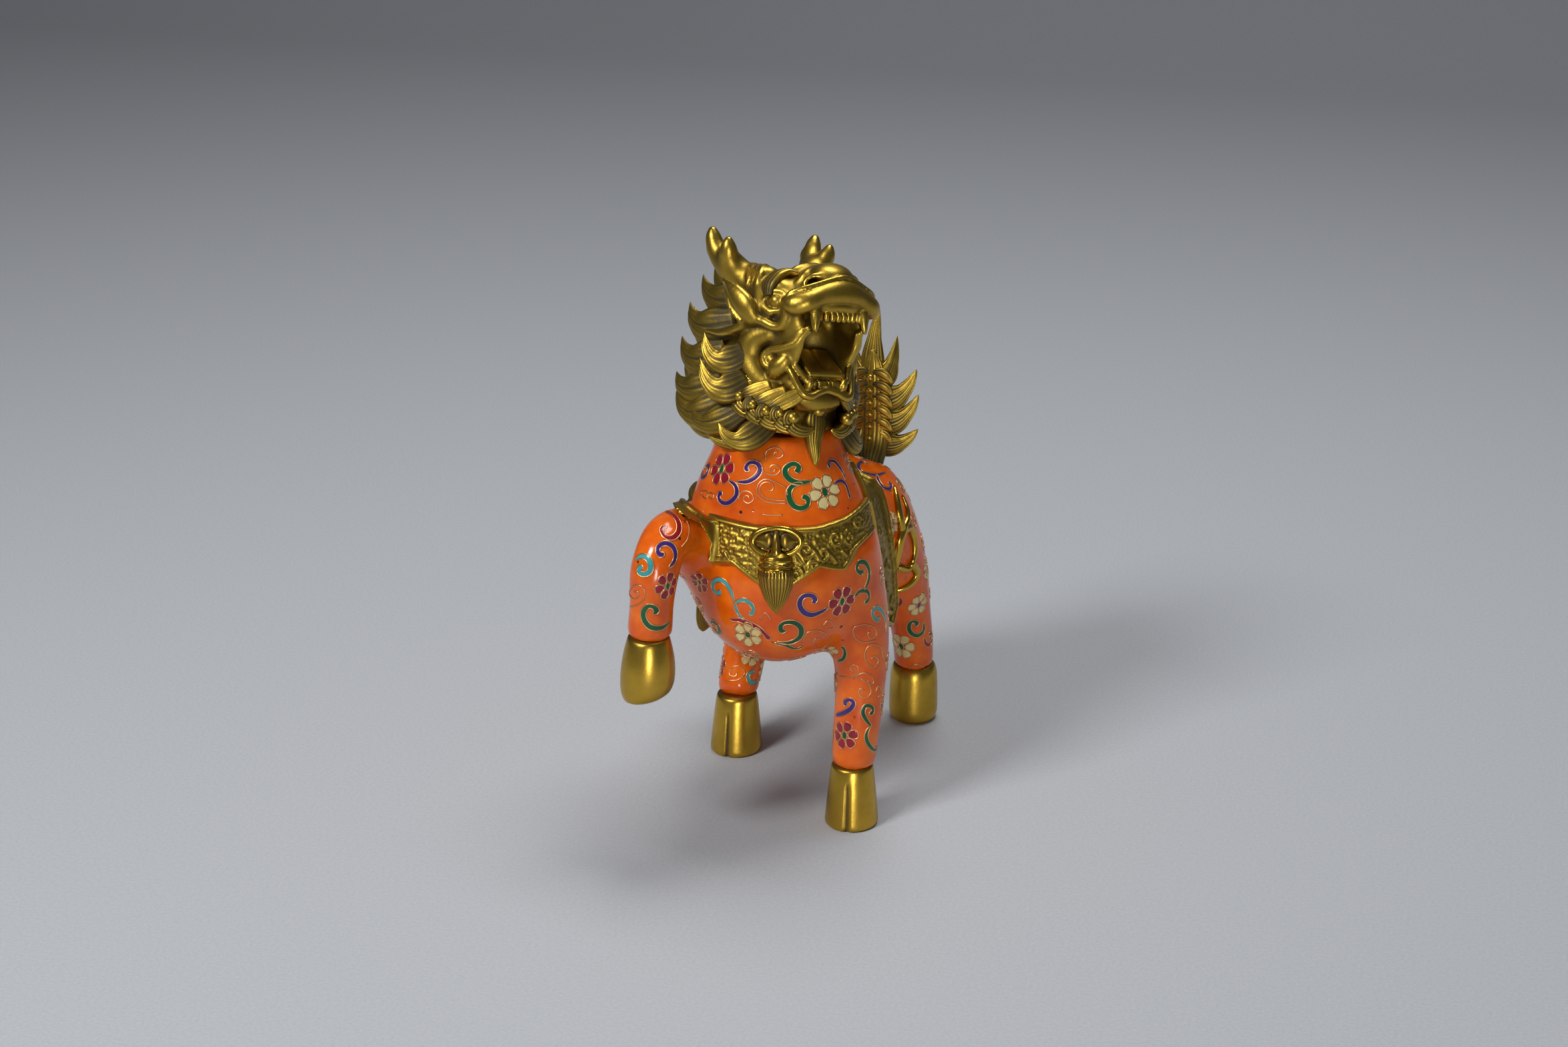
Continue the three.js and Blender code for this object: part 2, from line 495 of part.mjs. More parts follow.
function tail() {
  const [cx, cy, cz] = tailFoot;
  const put = ([x, z], back = 0) => [cx + x, cy + back, cz + z];
  const blade = ([root, bend, tip, wide], s) => flame(put([s * root[0], root[1]]),
    put([s * bend[0], bend[1]], 1), put([s * tip[0], tip[1]], 3), wide, 2.4, V(0, 0, 1));
  const locks = mirror.flatMap((s) => tailLocks.map((lock) => blade(lock, s)));
  const middle = flame(put([0, 20]), put([-1, 38], 1), put([1.4, 51], 3), 4.6, 2.6, across);
  const core = tube([[cx, cy, cz - 8, 6, 5], [cx, cy, cz + 4, 6.5, 3], [cx, cy, cz + 20, 6, 2.6],
    [cx, cy, cz + 32, 3.5, 2.2]], { sides: 6, steps: 3 });
  const curls = Array.from({ length: tailCurls }, (_, i) =>
    egg(put([-0.5, 6 + i * curlPitch], -3), [1.4, 1.4, 1.7], { wide: 5, high: 3 }));
  return joinShapes([core, middle, ...curls, ...locks]);
}

const body = wholeBody(0);
const bodyRoom = wholeBody(jointGap);
const hooves = Object.fromEntries(Object.keys(hoofPlaces).map((name) => [name, placedHoof(name)]));

// The leg ends where its hoof begins, with the joint gap between them.
function legCutter(name) {
  const { at, turn } = hoofPlaces[name];
  const reach = 4 * soleRadius;
  const block = new THREE.BoxGeometry(reach, reach, reach);
  block.translate(0, 0, hoofHeight + jointGap - reach / 2);
  block.applyMatrix4(new THREE.Matrix4().makeRotationFromEuler(new THREE.Euler(...turn))
    .setPosition(at[0] * unit, at[1] * unit, at[2] * unit));
  return solid(block);
}

const enamelBody = Object.keys(hoofPlaces).reduce((sum, name) => sum.subtract(legCutter(name)), body);
const throat = solid(tube([[0, -4, 119, 18, 17], [0, -3, 138, 17, 16]], { sides: 14, steps: 1 }));
const head = headLocal().transform(headPlace.elements).add(throat).subtract(bodyRoom);
const cloth = saddleCloth(0).subtract(bodyRoom);
const clothRoom = saddleCloth(jointGap);
const band = collar().subtract(bodyRoom).subtract(clothRoom);
const hanging = tassel().subtract(trunk(collarProud + jointGap));

const group = new THREE.Group();
group.add(piece("body", enamelBody, enamel));
group.add(piece("head", head, castBrass));
group.add(piece("tail", tail().subtract(bodyRoom), castBrass));
group.add(piece("saddle_cloth", cloth, castBrass));
group.add(piece("collar", band, castBrass));
group.add(piece("tassel", hanging, gilt));
for (const [name, hoof] of Object.entries(hooves)) group.add(piece(`hoof_${name}`, hoof, gilt));
for (const s of mirror) {
  const flames = haunchFlame(s).subtract(bodyRoom).subtract(clothRoom);
  group.add(piece(s > 0 ? "haunch_flame_left" : "haunch_flame_right", flames, gilt));
}

// The origin is under the middle of the figure's box, at the level of the soles.
const box = new THREE.Box3().setFromObject(group);
const middle = box.getCenter(V(0, 0, 0));
group.position.set(-middle.x, -middle.y, -box.min.z);

export default group;
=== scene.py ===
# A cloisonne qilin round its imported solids: an enamelled copper body with a cast brass head, mane, fan
# tail, chest collar, saddle cloth, tassel and hooves. Shapes are worked out in millimetres in the
# figure's own frame, where it faces -Y and its left side is +X; onFrame puts them on the solids.
import json
import bpy
import numpy as np
from mathutils import Euler, Matrix, Vector


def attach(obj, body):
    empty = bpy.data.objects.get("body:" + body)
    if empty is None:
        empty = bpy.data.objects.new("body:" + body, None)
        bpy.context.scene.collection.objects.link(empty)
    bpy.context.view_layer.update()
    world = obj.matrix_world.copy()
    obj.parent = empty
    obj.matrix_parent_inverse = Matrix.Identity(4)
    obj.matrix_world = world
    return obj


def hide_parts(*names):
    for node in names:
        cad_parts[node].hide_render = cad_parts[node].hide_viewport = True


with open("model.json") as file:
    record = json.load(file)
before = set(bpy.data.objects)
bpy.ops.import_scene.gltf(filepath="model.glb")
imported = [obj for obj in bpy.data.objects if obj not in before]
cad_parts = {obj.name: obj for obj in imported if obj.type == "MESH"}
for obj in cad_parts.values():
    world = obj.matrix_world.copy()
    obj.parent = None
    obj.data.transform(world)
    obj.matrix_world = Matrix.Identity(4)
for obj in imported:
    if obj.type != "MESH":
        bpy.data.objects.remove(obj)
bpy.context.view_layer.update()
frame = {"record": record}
rng = np.random.default_rng(7)

foreHoofFoot = np.array([27.0, -15.0, 0.0])  # the left fore sole's middle in the figure's own frame
soleMount = next(m for m in frame["record"]["mounts"] if m["name"] == "sole_front_left")
shift = np.array(soleMount["pos_m"]) * 1000 - foreHoofFoot
far = 20.0  # what a field holds where no shape comes near, in millimetres


def onFrame(points):
    return (np.asarray(points, float) + shift) / 1000


def unitRows(rows):
    return rows / np.linalg.norm(rows, axis=-1, keepdims=True).clip(1e-9)


def turned(angles):
    return np.array(Euler(angles).to_matrix())


def lengths(rows):
    return np.linalg.norm(rows, axis=1)


# Angles round a ring, evenly from 0, as one row.
def roundAngles(count):
    return np.linspace(0, 2 * np.pi, count, endpoint=False)[None]


# Smoothstep: 0 below the first edge, 1 above the second, and a cubic between them.
def ease(value, start, end):
    t = np.clip((value - start) / (end - start), 0, 1)
    return t * t * (3 - 2 * t)


# A smooth path through stations: each span is a cubic whose end slopes come from its neighbours, with
# knots spaced by the root of the distance. Extra columns, such as radii, run along with the place.
def smoothPath(stations, count):
    p = np.asarray(stations, float)
    p = np.vstack([2 * p[0] - p[1], p, 2 * p[-1] - p[-2]])
    knot = np.sqrt(lengths(np.diff(p[:, :3], axis=0))).clip(1e-3)[:, None]
    t = np.linspace(0, len(stations) - 1, count)
    i = np.minimum(t.astype(int), len(stations) - 2)
    k = (t - i)[:, None]
    a, b, c, d = p[i], p[i + 1], p[i + 2], p[i + 3]
    da, db, dc = knot[i], knot[i + 1], knot[i + 2]
    slopeIn = db * ((b - a) / da - (c - a) / (da + db) + (c - b) / db)
    slopeOut = db * ((c - b) / db - (d - b) / (db + dc) + (d - c) / dc)
    return ((2 * k**3 - 3 * k**2 + 1) * b + (k**3 - 2 * k**2 + k) * slopeIn
            + (3 * k**2 - 2 * k**3) * c + (k**3 - k**2) * slopeOut)


# The frame along a path: its tangent, the given side direction made square to it, and their cross.
def railFrame(path, side):
    run = unitRows(np.gradient(path[:, :3], axis=0))
    side = np.broadcast_to(np.asarray(side, float), run.shape)
    wide = unitRows(side - (side * run).sum(1, keepdims=True) * run)
    return run, wide, np.cross(run, wide)


print("fields")


# A field is a grid of distances to a surface, below zero inside it.
def newField(low, high, step):
    low = np.array(low, float)
    size = np.ceil((np.array(high) - low) / step).astype(int) + 1
    return {"low": low, "step": step, "value": np.full(size, far, np.float32)}


# The part of a field between two corners: its slices and the places of its grid points.
def window(field, low, high):
    size = np.array(field["value"].shape)
    first = np.clip(np.floor((np.asarray(low) - field["low"]) / field["step"]).astype(int), 0, size)
    last = np.clip(np.ceil((np.asarray(high) - field["low"]) / field["step"]).astype(int) + 1, first, size)
    axes = [(field["low"][k] + field["step"] * np.arange(first[k], last[k])).astype(np.float32)
            for k in range(3)]
    return tuple(slice(a, b) for a, b in zip(first, last)), np.stack(np.meshgrid(*axes, indexing="ij"), -1)


# The common part of shapes: the greatest of their distances.
def common(first, *others):
    for other in others:
        first = np.maximum(first, other)
    return first


# Joins two distances with a fillet: the smaller of the two, less a bulge where they are closer
# together than the fillet's width.
def fillet(a, b, width):
    share = np.clip(0.5 + 0.5 * (b - a) / width, 0, 1)
    return b + (a - b) * share - width * share * (1 - share)


def merge(field, part, distance, width, cut=False):
    old = field["value"][part]
    field["value"][part] = -fillet(-old, distance, width) if cut else fillet(old, distance, width)


# Distance to an ellipsoid: how far out in shares of its radii, over the slope of that share.
def shareDistance(parts, radii):
    out = sum((q / r) ** 2 for q, r in zip(parts, radii)) ** 0.5
    slope = sum((q / (r * r)) ** 2 for q, r in zip(parts, radii)) ** 0.5
    return np.where(slope > 1e-6, out * (out - 1) / np.maximum(slope, 1e-6), -radii[0])


# A tube along a smooth path of [x, y, z, radius] or [x, y, z, half across, half deep] stations, whose
# side direction says where across lies. The distance is taken to each short piece of the path, with
# domed ends: the dome is that share of the depth.
def addTube(field, stations, side=(1, 0, 0), width=1.5, count=12, dome=0.7, cut=False, room=3.0):
    flat = len(stations[0]) == 5
    path = smoothPath([list(s) + [s[3]] * (5 - len(s)) for s in stations], count)
    path[:, 3:] = path[:, 3:].clip(0.15)
    _, wide, deep = railFrame(path, side)
    reach = path[:, 3:].max(1, keepdims=True) + width + room
    part, points = window(field, (path[:, :3] - reach).min(0), (path[:, :3] + reach).max(0))
    best = np.full(points.shape[:3], far, np.float32)
    corner = points[0, 0, 0]
    for a, b, wa, wb, sa, sb in zip(path[:-1], path[1:], wide[:-1], wide[1:], deep[:-1], deep[1:]):
        near = max(a[3], a[4], b[3], b[4]) + width + room
        low = np.floor((np.minimum(a[:3], b[:3]) - near - corner) / field["step"]).astype(int).clip(0)
        high = np.ceil((np.maximum(a[:3], b[:3]) + near - corner) / field["step"]).astype(int).clip(1)
        box = tuple(slice(l, h) for l, h in zip(low, high))
        p = points[box]
        span = (b[:3] - a[:3]).astype(np.float32)
        length = max(np.linalg.norm(span), 1e-6)
        t = ((p - a[:3].astype(np.float32)) @ span / length**2).clip(0, 1)
        off = p - a[:3].astype(np.float32) - t[..., None] * span
        ra, rb = (a[k] + t * (b[k] - a[k]) for k in (3, 4))
        if flat:
            axes = [unitRows(wa + wb), unitRows(sa + sb), span / length]
            distance = shareDistance([off @ axis.astype(np.float32) for axis in axes],
                                     [ra, rb, np.maximum(dome * rb, 0.15)])
        else:
            distance = np.sqrt((off * off).sum(-1)) - ra
        best[box] = np.minimum(best[box], distance)
    merge(field, part, best, width, cut)


def addEgg(field, centre, radii, width=1.5, turn=(0, 0, 0), cut=False, room=3.0):
    centre = np.asarray(centre, float)
    axes = turned(np.radians(turn))
    reach = max(radii) + width + room
    part, points = window(field, centre - reach, centre + reach)
    local = (points - centre) @ axes
    merge(field, part, shareDistance([local[..., k] for k in range(3)], radii), width, cut)


# A field's value at any place, blended from the eight grid points round it.
def sample(field, points, grid=None):
    grid = field["value"] if grid is None else grid
    q = (np.asarray(points) - field["low"]) / field["step"]
    i = np.clip(np.floor(q).astype(np.int64), 0, np.array(grid.shape) - 2)
    f = np.clip(q - i, 0, 1)
    _, rows, columns = grid.shape
    at = (i[..., 0] * rows + i[..., 1]) * columns + i[..., 2]
    flat = grid.ravel()
    fx, fy, fz = f[..., 0], f[..., 1], f[..., 2]
    along = [flat[at + k] * (1 - fz) + flat[at + k + 1] * fz
             for k in (0, columns, rows * columns, (rows + 1) * columns)]
    near, beyond = along[0] * (1 - fy) + along[1] * fy, along[2] * (1 - fy) + along[3] * fy
    return near * (1 - fx) + beyond * fx


# The outward direction: the field's slope, from samples one step to each side.
def outward(field, points):
    steps = np.eye(3) * field["step"]
    return unitRows(np.stack([sample(field, points + s) - sample(field, points - s) for s in steps], -1))


# Slides points onto the surface that lies `proud` outside the field's zero surface.
def settle(field, points, proud=0.0, rounds=3):
    for _ in range(rounds):
        points = points - (sample(field, points) - proud)[..., None] * outward(field, points)
    return points


# The zero surface of a field: one vertex in each cell that it crosses, at the mean of where it cuts
# the cell's twelve edges, and one four-sided face round each grid edge that it cuts.
def netSurface(field):
    value = field["value"]
    inside = value < 0
    wide, long, high = np.array(inside.shape) - 1
    count = sum(inside[a:wide + a, b:long + b, c:high + c].astype(np.int8) for a, b, c in np.ndindex(2, 2, 2))
    cells = np.argwhere((count > 0) & (count < 8))
    number = np.full(count.shape, -1)
    number[tuple(cells.T)] = np.arange(len(cells))
    total = np.zeros((len(cells), 3))
    crossings = np.zeros((len(cells), 1))
    for start in np.ndindex(2, 2, 2):
        for axis in range(3):
            if start[axis]:
                continue
            end = np.array(start) + np.eye(3, dtype=int)[axis]
            a = value[tuple((cells + start).T)]
            b = value[tuple((cells + end).T)]
            cutsEdge = ((a < 0) != (b < 0))[:, None]
            t = np.where(cutsEdge[:, 0], a / np.where(a == b, 1, a - b), 0)[:, None]
            total += cutsEdge * (np.array(start) + t * np.eye(3)[axis])
            crossings += cutsEdge
    vertices = field["low"] + field["step"] * (cells + total / crossings)
    faces = []
    for axis in range(3):
        u, v = (axis + 1) % 3, (axis + 2) % 3
        first = np.moveaxis(inside, axis, 0)
        change = np.moveaxis(first[1:] != first[:-1], 0, axis)
        edges = np.argwhere(change)
        edges = edges[(edges[:, u] > 0) & (edges[:, v] > 0)
                      & (edges[:, u] < number.shape[u]) & (edges[:, v] < number.shape[v])]
        stepU, stepV = np.eye(3, dtype=int)[u], np.eye(3, dtype=int)[v]
        ring = [number[tuple((edges - offset).T)] for offset in (stepU + stepV, stepV, 0 * stepU, stepU)]
        quad = np.stack(ring, 1)
        solidFirst = inside[tuple(edges.T)]
        faces.append(np.where(solidFirst[:, None], quad, quad[:, ::-1]))
    return vertices, np.vstack(faces)


# The same field on a coarser grid, for a surface with fewer faces.
def resampled(field, step):
    size = np.array(field["value"].shape)
    coarse = newField(field["low"], field["low"] + (size - 1) * field["step"] - step, step)
    _, points = window(coarse, field["low"], field["low"] + size * field["step"])
    coarse["value"][:] = sample(field, points)
    return coarse


# A box blur along the three axes, run twice, which takes the ripple out of a field.
def blurred(value, half):
    for axis in range(3):
        size = value.shape[axis]
        for _ in range(2):
            first = np.repeat(value.take([0], axis), half + 1, axis)
            last = np.repeat(value.take([-1], axis), half, axis)
            padded = np.concatenate([first, value, last], axis)
            run = np.cumsum(padded, axis, dtype=np.float64)
            ahead = run.take(range(2 * half + 1, 2 * half + 1 + size), axis)
            value = ((ahead - run.take(range(size), axis)) / (2 * half + 1)).astype(np.float32)
    return value


# How shut in each place is: the share of solid in a box round it, above the half that a flat has.
def shutIn(field, points, reach):
    half = max(1, int(round(reach / field["step"])))
    return sample(field, points, blurred((field["value"] < 0).astype(np.float32), half)) - 0.5


print("mesh helpers")


# Rings of points round a path, each by its steps across and outwards.
def ringsAlong(points, across, out, wide, lift):
    return points[:, None] + across[:, None] * wide[..., None] + out[:, None] * lift[..., None]


# A closed skin over rings of points, with a pole at each end. Rings run along the first axis.
def ringSkin(rings, startPole=None, endPole=None):
    rings = np.asarray(rings, float)
    rows, sides = rings.shape[:2]
    startPole = rings[0].mean(0) if startPole is None else startPole
    endPole = rings[-1].mean(0) if endPole is None else endPole
    vertices = np.vstack([rings.reshape(-1, 3), startPole, endPole])
    i, j = np.meshgrid(np.arange(rows - 1), np.arange(sides), indexing="ij")
    k = (j + 1) % sides
    quads = np.stack([i * sides + j, i * sides + k, (i + 1) * sides + k, (i + 1) * sides + j], -1)
    quads = quads.reshape(-1, 4)
    j = np.arange(sides)
    k = (j + 1) % sides
    last = (rows - 1) * sides
    pole = rows * sides
    startFan = np.stack([np.full(sides, pole), k, j, j], 1)
    endFan = np.stack([np.full(sides, pole + 1), last + j, last + k, last + k], 1)
    return vertices, np.vstack([quads, startFan, endFan])


# A skin with its recess marks: the rings' own, and one for each pole.
def markedSkin(rings, mark, startPole=None, endPole=None, poleMarks=(0, 0)):
    return *ringSkin(rings, startPole, endPole), np.concatenate([mark.ravel(), poleMarks])


# The skin of a closed loop of rings, which has no poles.
def loopSkin(rings):
    count, around = rings.shape[:2]
    i, j = np.meshgrid(np.arange(count), np.arange(around), indexing="ij")
    k, m = (i + 1) % count, (j + 1) % around
    faces = np.stack([i * around + j, i * around + m, k * around + m, k * around + j], -1).reshape(-1, 4)
    return rings.reshape(-1, 3), faces


# Joins skins into one: (vertices, faces, recess), where a part without a recess has 0.
def joinParts(parts):
    vertices, faces, marks, start = [], [], [], 0
    for part in parts:
        vertices.append(part[0])
        faces.append(part[1] + start)
        marks.append(part[2] if len(part) > 2 else np.zeros(len(part[0])))
        start += len(part[0])
    return np.vstack(vertices), np.vstack(faces), np.concatenate(marks)


def addObject(name, data):
    made = bpy.data.objects.new(name, data)
    bpy.context.scene.collection.objects.link(made)
    return made


# Makes the object, in place of the solids' nodes named last. A face whose last two corners are the same
# is a triangle. Faces are turned to point outwards when the mesh's volume comes out below zero.
def addPiece(name, part, material, slot, *replaced):
    vertices, faces, recess = (*part, np.zeros(len(part[0])))[:3]
    vertices = onFrame(vertices)
    a, b, c, d = (vertices[faces[:, k]] for k in range(4))
    volume = (np.cross(b - a, c - a) * a).sum() + (np.cross(c - a, d - a) * a).sum()
    faces = faces if volume > 0 else faces[:, ::-1]
    flipped = faces[:, 0] == faces[:, 1]
    faces[flipped] = faces[flipped][:, [1, 2, 3, 3]]
    triangle = faces[:, 2] == faces[:, 3]
    mesh = bpy.data.meshes.new(name)
    mesh.vertices.add(len(vertices))
    mesh.vertices.foreach_set("co", vertices.astype(np.float32).ravel())
    corners = np.where(triangle, 3, 4)
    keep = np.ones(faces.shape, bool)
    keep[triangle, 3] = False
    mesh.loops.add(int(corners.sum()))
    mesh.loops.foreach_set("vertex_index", faces[keep].astype(np.int32))
    mesh.polygons.add(len(faces))
    mesh.polygons.foreach_set("loop_start", np.concatenate([[0], np.cumsum(corners)[:-1]]).astype(np.int32))
    mesh.polygons.foreach_set("use_smooth", np.ones(len(faces), bool))
    mesh.update(calc_edges=True)
    mesh.validate()
    mesh.attributes.new("recess", "FLOAT", "POINT").data.foreach_set("value", recess.astype(np.float32))
    mesh.materials.append(material)
    piece = addObject(name, mesh)
    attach(piece, "root")
    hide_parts(*replaced)


print("materials")


# A hex colour as the eye names it, turned to the linear values that shaders take.
def linear(hexColour, alpha=1.0):
    value = np.array([int(hexColour[k:k + 2], 16) for k in (1, 3, 5)]) / 255
    return (*np.where(value <= 0.04045, value / 12.92, ((value + 0.055) / 1.055) ** 2.4), alpha)


# Gives sockets their values, by name or as in0, in1 and so on. A (node, output) pair is linked.
def setSockets(tree, owner, sockets):
    for key, value in sockets.items():
        socket = owner.inputs[int(key[2:]) if key[2:].isdigit() else key.replace("_", " ")]
        if isinstance(value, tuple) and hasattr(value[0], "outputs"):
            tree.links.new(value[0].outputs[value[1]], socket)
        else:
            socket.default_value = value


# Adds a node, sets its properties and its sockets. `stops` are a colour ramp's places and colours.
def node(tree, kind, settings=None, stops=(), **sockets):
    made = tree.nodes.new("ShaderNode" + kind)
    for key, value in (settings or {}).items():
        setattr(made, key, value)
    for k, (place, colour) in enumerate(stops):
        stop = made.color_ramp.elements[k] if k < 2 else made.color_ramp.elements.new(place)
        stop.position = place
        stop.color = colour if isinstance(colour, tuple) else linear(colour)
    setSockets(tree, made, sockets)
    return made


def newMaterial(name):
    material = bpy.data.materials.new(name)
    material.use_nodes = True
    tree = material.node_tree
    tree.nodes.clear()
    shader = node(tree, "BsdfPrincipled")
    node(tree, "OutputMaterial", Surface=(shader, "BSDF"))
    return material, tree, shader


black, white = (0, 0, 0, 1), (1, 1, 1, 1)
# Scales of the enamel's patterns, per metre: clouds of about 10 mm, ripples of 2.4 mm, stains of 17 mm,
# and cells of 4 mm, of which some hold a pit. The rest are shares and hex colours.
enamelSettings = {"cloudScale": 95.0, "rippleScale": 420.0, "stainScale": 60.0, "pitScale": 260.0,
                  "stain": "#6B2A12", "stainFrom": 0.66, "stainTo": 0.76, "pit": "#3A1608", "pitShare": 0.16,
                  "pitInner": 0.10, "pitOuter": 0.19, "roughLow": 0.1, "roughHigh": 0.22, "ior": 1.48}


# Fired enamel, ground flush with its wires and polished: glass over opaque colour, so a hard clear
# gloss, soft clouding where the firing ran thick or thin, small dark pits and faint brown stains.
def firedEnamel(name, base, light, dark, pits=1.0):
    s = enamelSettings
    material, tree, shader = newMaterial(name)
    place = (node(tree, "TexCoord"), "Object")
    cloud = node(tree, "TexNoise", Vector=place, Scale=s["cloudScale"], Detail=4.0, Roughness=0.6)
    ripple = node(tree, "TexNoise", Vector=place, Scale=s["rippleScale"], Detail=3.0, Roughness=0.7)
    stain = node(tree, "TexNoise", Vector=place, Scale=s["stainScale"], Detail=6.0, Roughness=0.72)
    pit = node(tree, "TexVoronoi", Vector=place, Scale=s["pitScale"])
    clouded = node(tree, "ValToRGB", stops=[(0.3, dark), (0.7, light), (0.5, base)], in0=(cloud, "Fac"))
    stainMask = node(tree, "ValToRGB", stops=[(s["stainFrom"], black), (s["stainTo"], white)],
                     in0=(stain, "Fac"))
    stained = node(tree, "Mix", {"data_type": "RGBA"}, in0=(stainMask, "Color"),
                   in6=(clouded, "Color"), in7=linear(s["stain"]))
    pick = node(tree, "SeparateColor", Color=(pit, "Color"))
    pitSpot = node(tree, "ValToRGB", stops=[(s["pitInner"], white), (s["pitOuter"], black)],
                   in0=(pit, "Distance"))
    pitPick = node(tree, "Math", {"operation": "GREATER_THAN"}, in0=(pick, "Red"),
                   in1=1 - s["pitShare"] * pits)
    pitMask = node(tree, "Math", {"operation": "MULTIPLY"}, in0=(pitSpot, "Color"), in1=(pitPick, 0))
    pitted = node(tree, "Mix", {"data_type": "RGBA"}, in0=(pitMask, 0), in6=(stained, 2),
                  in7=linear(s["pit"]))
    rough = node(tree, "MapRange", Value=(ripple, "Fac"), To_Min=s["roughLow"], To_Max=s["roughHigh"])
    wave = node(tree, "Bump", Strength=0.12, Distance=0.0004, Height=(cloud, "Fac"))
    dent = node(tree, "Bump", {"invert": True}, Strength=0.6, Distance=0.0002,
                Height=(pitMask, 0), Normal=(wave, "Normal"))
    setSockets(tree, shader, {"Base_Color": (pitted, 2), "Roughness": (rough, "Result"), "IOR": s["ior"],
                              "Normal": (dent, "Normal")})
    return material


# Scales of the brass's patterns, per metre: worn patches of about 8 mm and a casting grain of 0.8 mm.
# The first two ranges are the depths between which gold turns brown, and brown turns dark brown: painted
# shade deepening into the recesses, with wear and patina.
brassSettings = {"patchScale": 130.0, "grainScale": 1300.0, "patchShift": 0.16, "wearAndShade": (-0.22, 0.08),
                 "dirtAndShade": (0.02, 0.22), "dirtAndShadeMost": 0.92, "dirtAndShadeMetal": 0.45, "polish": (-0.25, 0.2)}


# Cast brass with worn gilding, coloured by its recess mark: bright gold on the high places, olive brown on
# flatter ones and dark brown in the recesses, over a slightly grainy cast surface. The light high places and
# dark recesses are painted light and shade, with wear and patina.
def wornBrass(name, bright, worn, dirtAndShade, roughLow, roughHigh, grain=0.25):
    s = brassSettings
    material, tree, shader = newMaterial(name)
    place = (node(tree, "TexCoord"), "Object")
    smooth = {"interpolation_type": "SMOOTHSTEP"}
    recess = node(tree, "Attribute", {"attribute_name": "recess"})
    patch = node(tree, "TexNoise", Vector=place, Scale=s["patchScale"], Detail=5.0, Roughness=0.65)
    cast = node(tree, "TexNoise", Vector=place, Scale=s["grainScale"], Detail=3.0, Roughness=0.6)
    patchShift = node(tree, "MapRange", Value=(patch, "Fac"), To_Min=-s["patchShift"],
                      To_Max=s["patchShift"])
    depth = node(tree, "Math", {"operation": "ADD"}, in0=(recess, "Fac"), in1=(patchShift, "Result"))
    # Gold on the high places turning olive brown as places sink in: painted light and shade, with wear.
    wearAndShade = node(tree, "MapRange", smooth, Value=(depth, 0), From_Min=s["wearAndShade"][0], From_Max=s["wearAndShade"][1])
    gilt = node(tree, "Mix", {"data_type": "RGBA"}, in0=(wearAndShade, "Result"), in6=linear(bright),
                in7=linear(worn))
    # Dark brown, less metallic, in the recesses: painted shade, with patina.
    dirtAndShadeMask = node(tree, "MapRange", smooth, Value=(depth, 0), From_Min=s["dirtAndShade"][0],
                    From_Max=s["dirtAndShade"][1], To_Max=s["dirtAndShadeMost"])
    colour = node(tree, "Mix", {"data_type": "RGBA"}, in0=(dirtAndShadeMask, "Result"), in6=(gilt, 2),
                  in7=linear(dirtAndShade))
    rough = node(tree, "MapRange", Value=(depth, 0), From_Min=s["polish"][0], From_Max=s["polish"][1],
                 To_Min=roughLow, To_Max=roughHigh)
    metal = node(tree, "MapRange", Value=(dirtAndShadeMask, "Result"), To_Min=1.0, To_Max=s["dirtAndShadeMetal"])
    bump = node(tree, "Bump", Strength=grain, Distance=0.00015, Height=(cast, "Fac"))
    soft = node(tree, "Bump", Strength=0.25, Distance=0.0005, Height=(patch, "Fac"),
                Normal=(bump, "Normal"))
    setSockets(tree, shader, {"Base_Color": (colour, 2), "Metallic": (metal, "Result"),
                              "Roughness": (rough, "Result"), "Normal": (soft, "Normal")})
    return material


orangeEnamel = firedEnamel("orangeEnamel", "#DA5C09", "#E66F0E", "#C84B06")
inlayEnamel = {
    "crimson": firedEnamel("crimsonEnamel", "#8E1428", "#9E1C30", "#7A0F20", 0.5),
    "purple": firedEnamel("purpleEnamel", "#3C2470", "#47307E", "#301A5E", 0.5),
    "green": firedEnamel("greenEnamel", "#12542E", "#1A6238", "#0D4424", 0.5),
    "turquoise": firedEnamel("turquoiseEnamel", "#3A979C", "#4FA8AA", "#2C8088", 0.5),
    "cream": firedEnamel("creamEnamel", "#D2C286", "#DCCF98", "#BFAE6C", 0.5),
}
# Each brass: gold for high places, olive brown, and a dark brown for the recesses, which is painted shade with
# patina.
castBrass = wornBrass("castBrass", "#C09E3F", "#91772E", "#383016", 0.3, 0.52)
giltBrass = wornBrass("giltBrass", "#C9A23E", "#94752C", "#3C3018", 0.16, 0.38, grain=0.12)
hoofBrass = wornBrass("hoofBrass", "#C9A23E", "#94752C", "#3C3018", 0.27, 0.46, grain=0.14)
wireGilt = wornBrass("inlayWire", "#F0C89A", "#D8A070", "#8A5A38", 0.3, 0.42, grain=0.0)

print("body")
bodySettings = {"cell": 0.8, "meshCell": 1.04, "fillet": 7.0, "neckFillet": 9.0, "torsoDome": 0.55,
                "neckDome": 0.6, "legDome": 0.3, "neckTop": 132.5, "neckEdge": 1.5, "smoothing": 2,
                "hoofGap": 0.35, "edgeWave": 0.25, "edgeRipple": 0.15}
hoofHeight = 20.5
